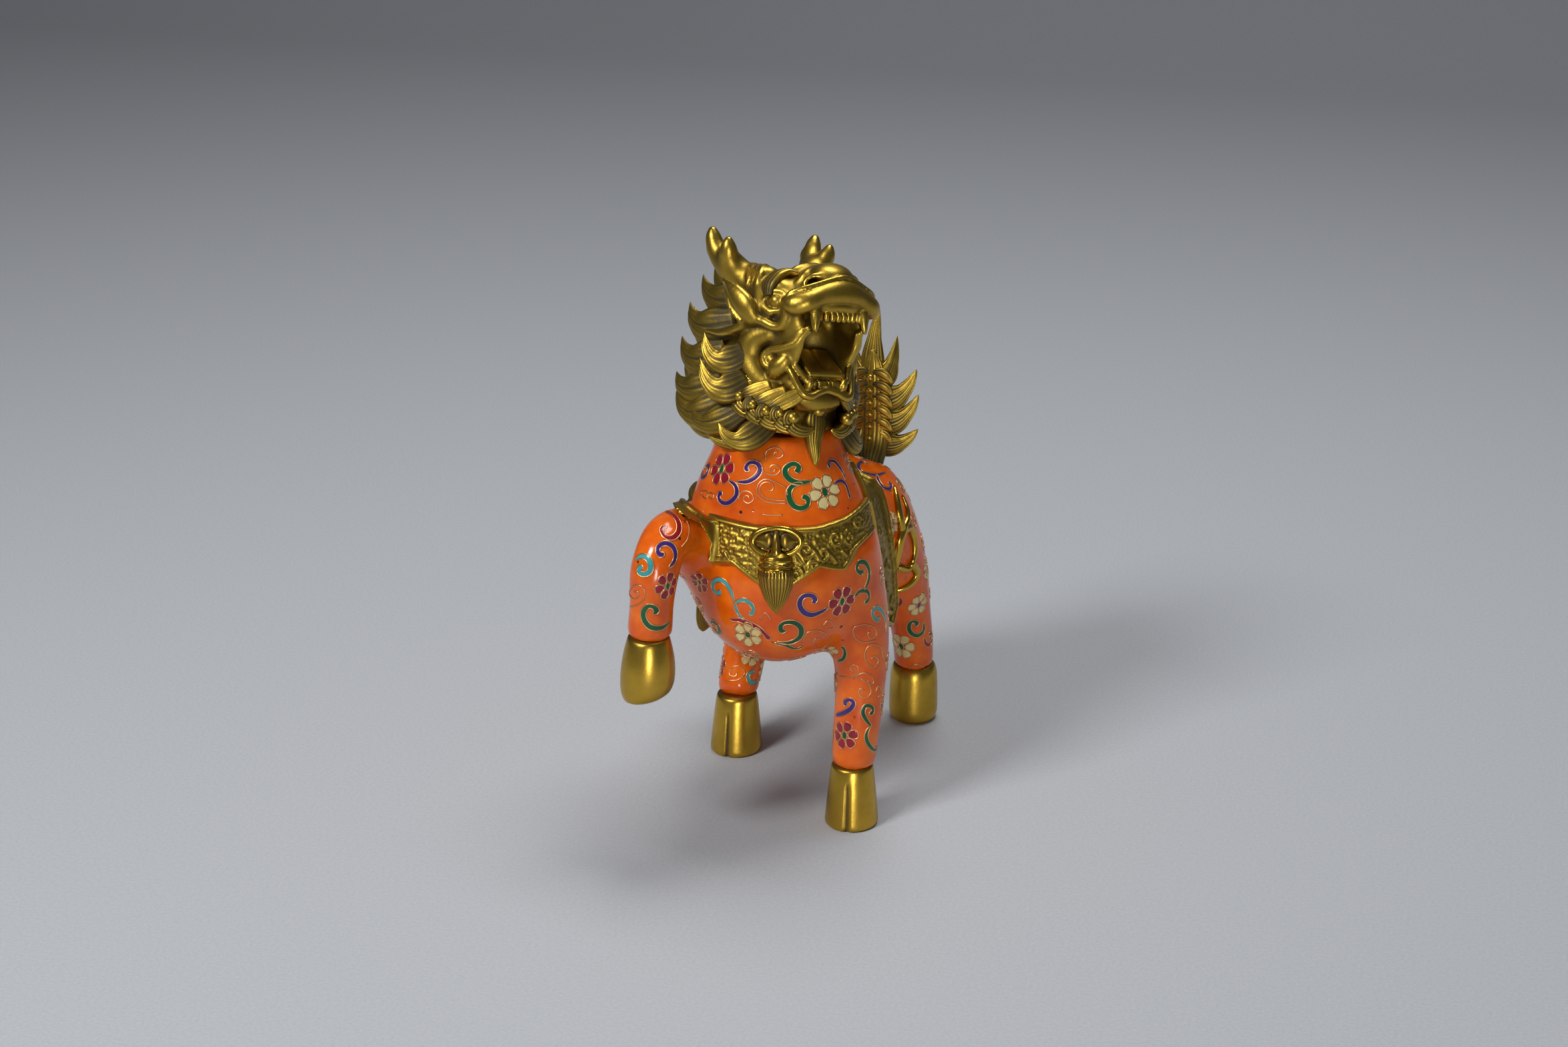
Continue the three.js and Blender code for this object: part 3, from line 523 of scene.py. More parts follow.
# Stations are [x, y, z, half width, half depth].
torsoStations = [
    [4, -30, 82, 15, 15], [3.5, -27, 82, 21, 20.5], [2.5, -20, 81.5, 26, 25], [1, -8, 82, 28, 27],
    [0, 12, 82.5, 27.5, 23.5], [0, 32, 82, 26, 20.5], [0.5, 50, 81, 26, 21], [1.5, 64, 81, 24, 19],
    [2, 72, 81, 18, 14],
]
neckStations = [
    [1, -7, 88, 28, 26], [0.5, -8, 100, 29, 26.5], [0, -7.5, 109, 27, 23.5], [0, -6, 118, 23, 21],
    [0, -5, 130.5, 19.4, 18],
]
legStations = {
    "front_left": [[19, -8, 90, 14, 15], [25, -7, 74, 11, 13.5], [27.8, -7.5, 60, 9.3, 10.5],
                   [28.3, -10, 46, 8.3, 8.6], [28, -13, 32, 7.7, 7.8], [27.3, -14.5, hoofHeight, 7.2, 7.3]],
    "front_right": [[-17, -8, 88, 12, 14], [-23, -22, 95, 10.5, 11.5], [-26.4, -36, 101.5, 9, 9],
                    [-27.6, -45.5, 101, 7.8, 7.8], [-28.8, -49.3, 94, 7.8, 7.8], [-29.6, -50, 84, 7, 7.2],
                    [-30.3, -50.5, 74, 7.3, 7.4]],
    "hind_left": [[12, 56, 84, 14, 17], [20.5, 60, 72, 11, 16.5], [24.6, 66, 56, 9.4, 12],
                  [26.6, 70, 42, 7.8, 8.6], [27.8, 72, 30, 7.2, 7.6], [28, 73.5, hoofHeight, 7, 7.1]],
    "hind_right": [[-14, 54, 84, 14, 17], [-21.5, 55, 70, 11.5, 15.5], [-24.5, 51, 54, 9.2, 11],
                   [-24.6, 44, 40, 7.9, 8.4], [-25, 37.5, 29, 7.3, 7.5], [-25.5, 32.5, hoofHeight, 7, 7.1]],
}
# The middle of each sole, and how the hoof is turned, in radians about x, y and z.
hoofPlaces = {
    "front_left": ([27.2, -15, 0], (0, 0, 0.1)), "hind_left": ([28, 74, 0], (0, 0, 0.15)),
    "hind_right": ([-25.2, 31.4, 0], (0, 0, -0.05)), "front_right": ([-31.0, -50.6, 53.5], (0.06, 0.04, 0)),
}


# Ends each leg a little above its hoof, at a plane across the hoof's axis that waves by its angle.
def cutLegs(field):
    s = bodySettings
    for place, turn in hoofPlaces.values():
        matrix = turned(turn)
        top = np.array(place) + matrix @ (0, 0, hoofHeight)
        part, points = window(field, top - (11, 11, 9), top + (11, 11, 4))
        local = (points - top) @ matrix
        angle = np.arctan2(local[..., 1], local[..., 0])
        wave = s["edgeWave"] * np.sin(3 * angle + place[0]) + s["edgeRipple"] * np.sin(7 * angle + 1)
        merge(field, part, local[..., 2] + s["hoofGap"] - wave, 0.3, cut=True)


# Ends the neck at a flat edge under the throat's casting.
def cutNeck(field):
    part, points = window(field, (-30, -30, 120), (30, 30, 142))
    merge(field, part, bodySettings["neckTop"] - points[..., 2], bodySettings["neckEdge"], cut=True)


# Two fields: the trunk with its neck, which the plates follow, and the whole body with its legs.
def makeBodyFields():
    s = bodySettings
    trunk = newField((-42, -62, 18), (42, 86, 142), s["cell"])
    addTube(trunk, torsoStations, width=1.0, count=30, dome=s["torsoDome"], room=6)
    addTube(trunk, neckStations, width=s["neckFillet"], count=16, dome=s["neckDome"], room=6)
    whole = {**trunk, "value": trunk["value"].copy()}
    for stations in legStations.values():
        addTube(whole, stations, width=s["fillet"], count=26, dome=s["legDome"], room=6)
    trunk, whole = ({**f, "value": blurred(f["value"], s["smoothing"])} for f in (trunk, whole))
    cutLegs(whole)
    cutNeck(whole)
    return trunk, whole


trunkField, bodyField = makeBodyFields()
bodySkin = netSurface(resampled(bodyField, bodySettings["meshCell"]))
addPiece("enamelBody", bodySkin, orangeEnamel, "enamel", "body")
print("body faces", len(bodySkin[1]))

print("face")
headTurn, headRaise, headTilt = 50, 5, 12  # degrees: to the figure's left, nose up, lean to its left
headHeight = 150.0
sides = (1, -1)


def turnAbout(axis, degrees):
    return np.array(Matrix.Rotation(np.radians(degrees), 3, axis))


headMatrix = turnAbout("Z", headTurn) @ turnAbout("X", -headRaise) @ turnAbout("Y", headTilt)


def fromHead(points):
    return np.asarray(points) @ headMatrix.T + (0, 0, headHeight)


def toHead(points):
    return (np.asarray(points, float) - (0, 0, headHeight)) @ headMatrix


def headPoint(side, forward, up):
    return (side, -forward, up)


# Stations given as (side, forward, up, half across, half deep) for the head's left; s mirrors them.
def headStations(rows, s=1):
    return [(s * r[0], -r[1], r[2], *r[3:]) for r in rows]


# Stations of the face's forms, for the left side: (side, forward, up, radius), or half across and half
# deep in the radius's place. An egg is (centre, radii, fillet's width).
faceSettings = {
    "cell": 0.52, "recessReach": 1.6,
    "skull": [((0, -3, 9), (17, 18, 18)), ((0, -7, 0), (19, 19, 18)), ((0, 11, 26), (9, 9, 7))],
    "muzzle": [(0, 0, 21, 13, 8), (0, 12, 24.5, 12, 6), (0, 20, 26.5, 10, 4.6)],
    "jaw": [(0, 2, -3, 13, 9), (0, 13, -3.4, 11, 7), (0, 19.6, -6.8, 8.4, 4.4)],
    "upperLip": [(16.3, 18.6, 22.2, 1.8, 1.4), (15.2, 22, 21.7, 3.3, 2.6), (12.2, 24.6, 22.9, 3.3, 2.9),
                 (8, 25.4, 25, 3.1, 2.7), (4, 26.2, 26.4, 3.6, 2.7), (0, 26.4, 27, 3.9, 2.7)],
    "lipRim": [(16.8, 19.2, 21.6, 0.7), (16, 20.9, 25, 0.85), (13.2, 23.2, 26.8, 0.85), (9, 24.7, 28.6, 0.8),
               (4.5, 25.7, 30.4, 0.8), (0, 26.2, 31.5, 0.8)],
    "cheekWall": [(11.8, 14.5, 20, 4, 7), (10.6, 13.5, 12, 3.6, 10), (10.4, 9.4, 2, 4, 9),
                  (9.6, 6, -6, 4, 8)],
    "cheek": [(14.4, 9.8, 11.2, 3.4, 3.6), (15.8, 5.4, 8.4, 4.6, 4.6), (16.2, 3.6, 3.2, 5, 5.4),
              (15, 6.6, -2.4, 5, 5.2), (12.2, 12.4, -6.6, 4, 4.2)],
    "whisker": [(15.7, 19.9, 23.4, 1), (15.8, 19.5, 20.6, 1.2), (15.4, 19, 17.2, 1.4),
                (15.4, 17.4, 14.3, 1.6), (16.6, 14.8, 13.6, 1.6), (18.1, 11, 14.7, 1.7),
                (19.2, 6.3, 14.2, 1.7), (20.2, 3.1, 11.9, 1.7), (21.2, -0.2, 10.1, 1.6),
                (22.2, -4.9, 8.5, 1.3), (23.3, -11.3, 8.3, 0.7)],
    "browRidge": [(10.2, -0.6, 28.4, 1.6), (13.8, 1.6, 26.8, 2.1), (16.2, 5, 22.8, 2.3), (17.2, 8.8, 19.4, 2),
                  (16.9, 13, 17.6, 1.2)],
    "foldCurl": [(10.4, 24.6, 14.8, 0.9), (11, 22.7, 12, 1.2), (12, 21.4, 9.7, 1.35), (13.2, 19, 8.1, 1.4),
                 (14.4, 15.9, 6.7, 1.4), (15.5, 12.8, 5.7, 1.3), (16.4, 11.5, 4, 1.2), (16.5, 12, 1.8, 1.1),
                 (15.8, 13.6, 0.7, 1)],
    "cornerLeaf": [(13.4, 13, -2, 2), (13.4, 15.4, 0.8, 3), (12.6, 17.4, 3.2, 2.7), (11.8, 18.6, 6.6, 1)],
    "lowerLip": [(12.2, 18.4, 2, 1.1), (11.4, 20.6, -0.2, 1.2), (10.4, 22.5, -3.1, 1.2),
                 (9, 24.4, -5.8, 1.35), (6.8, 25.2, -6.4, 1.35), (4, 25.2, -5.2, 1.2), (0, 24.4, -4.2, 1.1)],
    "fang": [(9, 25.2, 22.4, 1.5), (9.2, 26, 19.6, 1.75), (9.4, 26.8, 16.8, 1.4), (9.6, 27.4, 14.8, 0.8)],
    "lowerFang": [(6.6, 22.8, -5, 1.5), (6.6, 23.8, -2.8, 1.4), (6.6, 24.2, -0.9, 0.7)],
    "horn": [(11.5, -6, 24.4, 4.8), (15, -11.4, 27.8, 4.8), (17.5, -16, 31.2, 3.9), (19.1, -18.4, 34.8, 3),
             (19.8, -19.2, 37.4, 2.4), (20.2, -19.4, 39.2, 1.5)],
    "hornProng": [(16, -12.2, 28.6, 4), (18.4, -11.2, 32.2, 3.3), (19.5, -10.6, 35.2, 2.5),
                  (19.9, -10.4, 37.2, 1.4)],
    "ear": [(19.6, 8, 15, 2.8, 2.2), (21.2, 5.4, 17.2, 4.8, 2.9), (22.8, 1.2, 20.8, 4.4, 2.5),
            (23.8, -4.4, 25.2, 0.9, 0.8)],
    "earSlot": [(22.6, 5, 14.6, 0.9), (24.6, 1.4, 17.8, 1.4), (25.2, -1.4, 21.4, 1.2), (24.6, -3.6, 24, 0.5)],
    "nostrilRing": [(9.9, 20.8, 26.2, 1), (10, 19.8, 28.2, 1.1), (8.4, 20.4, 30.2, 1.15), (5.8, 22, 31, 1),
                    (4.4, 23.6, 30.2, 0.8)],
    "upperLid": [(17.4, 9.6, 21.6, 0.6), (16.6, 11.4, 24, 0.9), (14.6, 14.4, 24.6, 0.9), (13, 17, 23.4, 0.6)],
    "lowerLid": [(17.6, 9.8, 20.8, 0.6), (17.4, 11.6, 18.6, 0.9), (16, 14.8, 18.4, 0.9),
                 (14.4, 17, 19.6, 0.6)],
    "upperGum": [(9.6, 24.2, 21.6, 1.6, 1.1), (5, 26.2, 22, 1.7, 1.2), (0, 26.7, 22.2, 1.7, 1.2)],
    "tongueGroove": [(0, 13, 6.8, 0.4), (0, 17, 5, 0.5), (0, 21.6, 2.2, 0.3)],
    "wrinkle": [(8.4, -8.4, 29.6, 0.9), (12, -5.4, 29.8, 1.25), (14.8, -2.8, 28.2, 1.3),
                (16.4, -1.4, 25.6, 1.1), (16.8, -1.2, 24.4, 0.9)],
    "noseWrinkle": [(9.6, 15.6, 28, 0.8), (7.8, 16.2, 30.2, 1.4), (4.6, 15, 32, 1.3), (0, 14.4, 32.8, 1)],
    "bridgeWrinkle": [(9.8, 9.6, 29, 0.8), (7.2, 10, 31, 1.4), (3.6, 10.2, 32.4, 1.3), (0, 10, 32.8, 1)],
    "chin": ((0, 19.4, -8.2), (8.4, 4.6, 3.8), 3),
    "temple": ((9.6, -3, 20), (7.6, 10, 8.6), 3),
    "mouthHollows": [((0, 21.5, 9), (9.4, 14, 10.2), 1.2), ((0, 22.5, 15.5), (9.8, 7, 6), 1.2)],
    "nose": ((0, 19.2, 30.4), (7.4, 6.4, 4.6), 2.0),
    "cheekPads": [((10.5, 5.5, 22.6), (6.6, 10.5, 6.4), 3), ((12.6, 5, 15), (6, 9, 8), 3),
                  ((12.4, 17, 17), (2.8, 5, 5), 2)],
    "eye": [((12.6, 9.6, 25), (4, 5.4, 4), 1.6), ((15, 12.8, 21.4), (2.6, 2.8, 2.6), 0.2)],
    "browKnob": ((11.2, 1.8, 28.2), (3.5, 3.0, 2.9), 0.6),
    "nostril": ((7.9, 21.2, 28.4), (1.9, 2.3, 1.5), 0.7),
    "foldHollow": ((16.0, 14.4, 3.4), (2.4, 2.6, 2.6), 0.8),
    "foldBall": ((14.6, 13.0, 3.1), (1.9, 1.9, 1.9), 0.3),
    "hornKnob": ((18.4, -20.2, 33.4), (2.2, 2.2, 2.6), 1.4),
    "throat": [(0, -5, 120, 18, 17), (0, -4, 140, 17.6, 16.6)],  # in the figure's own frame
    "upperTeeth": {"count": 8, "pitch": 2.06, "at": (26.9, 18.9), "bend": 0.024, "halves": (0.92, 0.9, 1.5),
                   "rounding": 0.5},
    "lowerTeeth": {"count": 6, "pitch": 1.72, "at": (23.8, -3.0), "bend": 0.02, "halves": (0.74, 0.75, 1.5),
                   "rounding": 0.4},
    # rows of beads at the mouth's corners: the first and last centre, the radii and how many
    "gumBeads": [((9.4, 23.7, 13.6), (11.4, 20.5, 8.2), (1, 0.95, 1), 6),
                 ((10.4, 20.6, 2.2), (8, 23.4, -1.4), (0.95, 0.95, 1.4), 5)],
    "tongue": {"at": (0, 17.4, 2.4), "halves": (6.9, 6.4, 1.9), "turn": (31, 0, 0)},
}


# A block with rounded edges: how far a place lies beyond the block's halves, less the rounding.
def addBlock(field, centre, halves, rounding=0.4, width=0.3, turn=(0, 0, 0), cut=False):
    centre, halves = np.asarray(centre, float), np.asarray(halves, float)
    reach = halves.max() * 1.8 + width + 1
    part, points = window(field, centre - reach, centre + reach)
    beyond = np.abs((points - centre) @ turned(np.radians(turn))) - halves + rounding
    distance = np.sqrt((beyond.clip(0) ** 2).sum(-1)) + beyond.max(-1).clip(max=0) - rounding
    merge(field, part, distance, width, cut)


def bothSides(rows):
    return headStations(rows) + headStations(rows[-2::-1], -1)


def addFaceTube(field, name, s=1, **how):
    addTube(field, headStations(faceSettings[name], s), **how)


# An egg of the face, on the left side or mirrored on the right.
def addFaceEgg(field, egg, s=1, turn=(0, 0, 0), cut=False):
    (side, forward, up), radii, width = egg
    addEgg(field, headPoint(s * side, forward, up), radii, width, turn, cut)


# A row of teeth: rounded blocks side by side, set back by their distance from the middle, squared.
def addTeeth(field, row):
    forward, up = row["at"]
    for x in (np.arange(row["count"]) - (row["count"] - 1) / 2) * row["pitch"]:
        addBlock(field, headPoint(x, forward - row["bend"] * x * x, up), row["halves"], row["rounding"], 0.1)


# The face is one field in the head's own frame: skull, muzzle, lips and jaw with the open mouth cut
# out of them, then brows, eyes, whisker ridges, horns, ears, teeth and tongue joined with small fillets.
# Each fillet works on what is there before it, so the order counts.
def makeFaceField():
    s = faceSettings
    f = newField((-28, -32, -20), (28, 29, 43), s["cell"])
    for centre, radii in s["skull"]:
        addEgg(f, headPoint(*centre), radii, width=3)
    addFaceTube(f, "muzzle", width=4, dome=0.6)
    addFaceTube(f, "jaw", width=4, dome=0.5)
    addFaceEgg(f, s["chin"])
    for k in sides:
        addFaceTube(f, "cheekWall", k, side=(k, 0, 0), width=3)
        addFaceEgg(f, s["temple"], k)
    for hollow in s["mouthHollows"]:
        addFaceEgg(f, hollow, cut=True)
    addFaceEgg(f, s["nose"])
    addTube(f, bothSides(s["upperLip"]), side=(0, 0.36, 0.93), width=1.4, count=30)
    addTube(f, bothSides(s["lipRim"]), width=0.35, count=36)
    throat = [(*toHead(row[:3]), *row[3:]) for row in s["throat"]]
    addTube(f, throat, side=np.array([1, 0, 0]) @ headMatrix, width=3, dome=0.1)
    for k in sides:
        for pad in s["cheekPads"]:
            addFaceEgg(f, pad, k)
        addFaceTube(f, "cheek", k, side=(k, 0, 0), width=0.9, dome=0.9, count=18)
        addFaceTube(f, "browRidge", k, width=1.0, count=18)
        for egg in s["eye"]:
            addFaceEgg(f, egg, k)
        addFaceTube(f, "upperLid", k, width=0.5)
        addFaceTube(f, "lowerLid", k, width=0.5)
        for j in range(3):  # crescent wrinkles between the horn and the knob of the forehead
            moved = [(x, y - 2.5 * j, z + 0.3 * j, r) for x, y, z, r in headStations(s["wrinkle"], k)]
            addTube(f, moved, width=0.4)
        addFaceEgg(f, s["browKnob"], k)
        ridges = {"whisker": 0.9, "nostrilRing": 0.6, "noseWrinkle": 1.0, "bridgeWrinkle": 1.0}
        for name, width in ridges.items():
            addFaceTube(f, name, k, width=width, count=24)
        addFaceEgg(f, s["nostril"], k, (0, 25 * k, 0), cut=True)
        addFaceEgg(f, s["foldHollow"], k, cut=True)
        addFaceTube(f, "foldCurl", k, width=1.0, count=26)
        addFaceEgg(f, s["foldBall"], k)
        addFaceTube(f, "cornerLeaf", k, width=0.7)
        addFaceTube(f, "horn", k, width=2.4, count=18)
        addFaceTube(f, "hornProng", k, width=2.0)
        addFaceEgg(f, s["hornKnob"], k)
        addFaceTube(f, "ear", k, side=(0, -0.7, 0.7), width=1.2)
        addFaceTube(f, "earSlot", k, width=0.8, cut=True)
    addTube(f, bothSides(s["upperGum"]), side=(0, 0, 1), width=0.3, count=18)
    addTeeth(f, s["upperTeeth"])
    addTeeth(f, s["lowerTeeth"])
    for k in sides:
        addFaceTube(f, "fang", k, width=0.3)
        addFaceTube(f, "lowerLip", k, width=0.6, count=22)
        addFaceTube(f, "lowerFang", k, width=0.2)
        for first, last, radii, count in s["gumBeads"]:
            for side, forward, up in np.linspace(first, last, count):
                addEgg(f, headPoint(side * k, forward, up), radii, width=0.15)
    addBlock(f, headPoint(*s["tongue"]["at"]), s["tongue"]["halves"], 0.8, 0.6, s["tongue"]["turn"])
    addFaceTube(f, "tongueGroove", width=0.8, cut=True)
    return f


faceField = makeFaceField()
faceSkin = netSurface(faceField)
# How shut in each place of the face is: it darkens the brass in the hollows, as painted shade with patina.
faceRecess = shutIn(faceField, faceSkin[0], faceSettings["recessReach"])
addPiece("castHead", (fromHead(faceSkin[0]), faceSkin[1], faceRecess), castBrass, "cast_brass", "head")
print("face faces", len(faceSkin[1]))

print("mane")
# Powers that round a lock's strands, their ends at the lock's edge and its section; the shares of its
# length where strands fade in and out; and what grooves, the root and the tip add to the recess: the darker
# grooves and root are painted shade, with patina, and the lighter tip is wear.
lockSettings = {"strandPower": 0.6, "edgePower": 0.4, "sectionPower": 0.85, "rootFade": 0.08, "tipFade": 0.18,
                "grooveMark": 0.36, "rootMark": 0.16, "rootEnd": 0.45, "tipMark": 0.14, "tipRange": (0.25, 0.8)}


# A lock of cast hair: an oval section carried along its path, with rounded strands and narrow grooves
# on its two broad faces, which fade at the root and towards the point.
def lockSkin(path, side, strands=6, depth=0.4, around=56, smoothTip=0.8):
    rows = len(path)
    t = np.linspace(0, 1, rows)[:, None]
    run, across, out = railFrame(path, side)
    angle = roundAngles(around)
    c, s = np.cos(angle), np.sin(angle)
    k = lockSettings
    strand = np.abs(np.sin(np.pi * strands * (c + 1) / 2)) ** k["strandPower"]
    fade = ease(t, 0, k["rootFade"]) * (1 - ease(t, smoothTip, min(smoothTip + k["tipFade"], 1)))
    fade = fade * np.abs(s) ** k["edgePower"]
    dent = depth * (1 - strand) * fade
    lift = np.sign(s) * (np.abs(s) ** k["sectionPower"] * path[:, 4:5] - dent)
    rings = ringsAlong(path[:, :3], across, out, c * path[:, 3:4], lift)
    # Painted shade, with patina: darker in the grooves and at the root. The tip is lighter where it is worn.
    mark = ((1 - strand) * fade * k["grooveMark"] + k["rootMark"] * (1 - ease(t, 0, k["rootEnd"]))
            - k["tipMark"] * ease(t, *k["tipRange"]))
    return markedSkin(rings, mark, path[0, :3], path[-1, :3] + run[-1] * 0.2, (0.3, -0.2))


# The path of a flame-shaped lock: a parabola from root over bend to tip, whose width swells past the
# root and runs out to the tip as (1 - t^2.2)^0.8.
def flamePath(root, bend, tip, wide, thick, rows=40):
    t = np.linspace(0, 1, rows)[:, None]
    root, bend, tip = (np.asarray(p, float) for p in (root, bend, tip))
    place = (1 - t) ** 2 * root + 2 * t * (1 - t) * bend + t * t * tip
    swell = (0.75 + 0.25 * np.sin(np.pi * np.minimum(1, 1.6 * t))) * (1 - t**2.2).clip(0) ** 0.8 + 0.02
    return np.hstack([place, wide * swell, thick * swell])


maneSettings = {"strands": 6, "depth": 0.45, "rows": 34, "around": 48, "side": (0, 0.25, 1)}
# Locks of the head's left side: root, bend and tip as (side, forward, up), half width, half thickness.
maneLocks = [
    [(13, -4, 20), (20, -19, 14), (17, -26.5, 24.5), 6.4, 3.0],
    [(16, -6, 12), (24, -20, 5), (21, -26, 15.5), 6.6, 3.0],
    [(18, -6, 2), (26, -18, -6), (23, -25.5, 4.4), 6.6, 3.0],
    [(18, -6, -6), (27, -17, -16), (24, -24.8, -7), 6.4, 3.0],
    [(17, -2, -12), (27, -12, -24), (25.5, -21.5, -13), 6.4, 3.0],
    [(19, 5, 4), (29, 0, -5), (29, -4.5, 8.4), 5, 2.4],
    [(19, 7, -4), (30, 4, -14), (30.5, -3, 0.4), 5.2, 2.4],
    [(19, 8, -13), (28, -2, -24), (27.5, -8.5, -17), 5.2, 2.6],
    [(13, 15, -15), (25, 14, -29), (28, 8, -18.5), 4.8, 2.4],
    [(8, 10, -15), (20, 4, -30), (25, -3, -22), 4.8, 2.6],
    [(7, -10, 20), (10, -25, 16), (9, -32, 27), 6.4, 3.4],
    [(9, -14, 7), (14, -29, 0), (13, -35, 13), 6.8, 3.6],
    [(9, -14, -6), (15, -29, -15), (14.5, -34, -2), 6.8, 3.6],
    [(9, -9, -15), (16, -23, -29), (16, -30, -16), 6.6, 3.6],
    [(4, -14, 15), (6, -28, 10), (5.5, -31, 20), 5.4, 3.2],
    [(4, -16, 2), (7, -30, -5), (6.5, -32, 6), 5.4, 3.2],
    [(5, -13, -11), (8, -27, -20), (8, -30, -9), 5.4, 3.2],
]
crestLocks = [
    [(0, -12, 22), (0, -27, 20), (0, -33, 32), 5.2, 3.8],
    [(0, -16, 9), (0, -33, 5), (0, -39, 18), 6, 4],
    [(0, -17, -4), (0, -34, -11), (0, -39.5, 2), 6, 4],
]
# The twisted roll of curls under the jaw: the centre and radius of each curl's ball, from ear to chin.
jawCurls = [(22.4, 3.4, -6.2, 1.7), (21.6, 8.2, -9.6, 1.75), (19.6, 13, -11.4, 1.6), (17, 17, -12.6, 1.75),
            (13.8, 20, -12.8, 1.5), (10.4, 22.6, -13.6, 2.1)]
# A curl's comma and strand, from its ball: (along the roll, up, inwards, half width, half thickness).
curlBelow = [(-0.6, 1.7, 0.6, 0.8, 0.7), (-1.9, 0.4, 0.5, 1.5, 1.1), (-1.7, -1.8, 0.3, 2.1, 1.5),
             (0.6, -3.4, 0.4, 2.3, 1.6), (3.6, -3.6, 0.7, 1.9, 1.4), (6.4, -2.2, 1.3, 0.5, 0.5)]
curlAbove = [(0.2, 0.6, 1, 1.5, 0.9), (2.2, 2, 1.3, 2.5, 1.1), (4.6, 4.2, 2.2, 2.8, 1.1),
             (7.6, 7.4, 4, 2, 0.9)]
curlLock = {"depth": 0.32, "around": 36, "smoothTip": 0.86}


# One curl: a ball, a comma of hair that wraps below it towards the next ball, and above it a strand
# that rises to the jaw, where the roll has one.
def jawCurl(ball, ahead, s, rising):
    x, y, z, r = ball
    centre = np.array(headPoint(s * x, y, z))
    run = unitRows(np.array(headPoint(s * ahead[0], ahead[1], ahead[2])) - centre)
    up, inner = np.array([0, 0, 1.0]), np.array([-s, 0.0, 0])
    parts = [eggSkin(centre, (r, r, r))]
    for rows, strands in ((curlBelow, 4), (curlAbove, 5))[:1 + rising]:
        stations = [(*(centre + a * run + b * up + c * inner), wide, thick) for a, b, c, wide, thick in rows]
        parts.append(lockSkin(smoothPath(stations, 22), unitRows(up - run), strands, **curlLock))
    return parts


def maneSide(s):
    m = maneSettings
    parts = []
    for root, bend, tip, wide, thick in maneLocks:
        ends = [headPoint(s * p[0], p[1], p[2]) for p in (root, bend, tip)]
        path = flamePath(*ends, wide, thick, m["rows"])
        parts.append(lockSkin(path, m["side"], m["strands"], m["depth"], m["around"]))
    return parts


# A ball at the end of a curl, as an egg on an even grid of longitude and latitude.
def eggSkin(centre, radii, rows=14, around=24):
    v = np.linspace(0, np.pi, rows + 2)[1:-1, None]
    u = roundAngles(around)
    cosines = np.broadcast_to(np.cos(v), (rows, around))
    rings = np.stack([np.sin(v) * np.cos(u), np.sin(v) * np.sin(u), cosines], -1) * radii + centre
    pole = np.array([0, 0, radii[2]])
    vertices, faces = ringSkin(rings, centre + pole, centre - pole)
    return vertices, faces, np.full(len(vertices), -0.15)


def placeParts(parts):
    vertices, faces, recess = joinParts(parts)
    return fromHead(vertices), faces, recess


# Stations of the brow's lock, of the head's left side, and of the beard below the chin.
browStations = [(17.4, 11.2, 22.6, 1.8, 1.1), (16.5, 10, 25.8, 3.2, 1.7), (13.9, 9.6, 28.8, 3.5, 1.8),
                (10.8, 11, 30.4, 2.4, 1.4), (8.6, 13.4, 30.6, 0.6, 0.6)]
beardStations = [(0, 18.5, -9, 2.4, 2.2), (0, 19.4, -12.5, 3.2, 2.6), (0, 20.2, -16, 3.8, 2.8),
                 (-0.4, 21.2, -21, 2.8, 2.3), (0, 22.6, -26, 1.6, 1.4), (0, 23.2, -28.4, 0.6, 0.6)]
rollEnd = (6.0, 24.4, -14.4)  # where the last curl of the roll points
beardKnot = ((0, 21.2, -11.4), (2.3, 2.1, 2.0))
browLock = {"strands": 5, "depth": 0.3, "around": 56, "smoothTip": 0.86}
beardLock = {"strands": 7, "depth": 0.45, "around": 72, "smoothTip": 0.82}


def curlsAndBeard():
    parts = []
    for s in sides:
        for k, (ball, ahead) in enumerate(zip(jawCurls, jawCurls[1:] + [rollEnd])):
            parts += jawCurl(ball, ahead, s, k < 4)
        parts.append(lockSkin(smoothPath(headStations(browStations, s), 40), (0, -1, 0.2), **browLock))
    parts.append(lockSkin(smoothPath(headStations(beardStations), 48), (1, 0, 0), **beardLock))
    parts.append(eggSkin(headPoint(*beardKnot[0]), beardKnot[1]))
    return parts


sideNames = {1: "left", -1: "right"}
for s in sides:
    addPiece("mane_" + sideNames[s], placeParts(maneSide(s)), castBrass, "cast_brass", "head")
crestPaths = [flamePath(*[headPoint(*p) for p in lock[:3]], lock[4], lock[3]) for lock in crestLocks]
crest = placeParts([lockSkin(path, (1, 0, 0)) for path in crestPaths])
addPiece("mane_crest", crest, castBrass, "cast_brass", "head")
addPiece("jaw_curls_and_beard", placeParts(curlsAndBeard()), castBrass, "cast_brass", "head")

print("tail")
tailFoot = np.array([12.0, 73, 98])
# Locks of the tail's left side: root, bend and tip as (x, z) from the fan's foot, and half width.
tailLocks = [
    [(1, 5), (9, 0), (15.6, 8.6), 5], [(1, 12), (10.5, 8.5), (15.6, 21), 5.4],
    [(1, 20), (10, 17), (14.8, 30), 5.4], [(1, 27), (6.5, 26), (7.8, 41.5), 4.8],
]
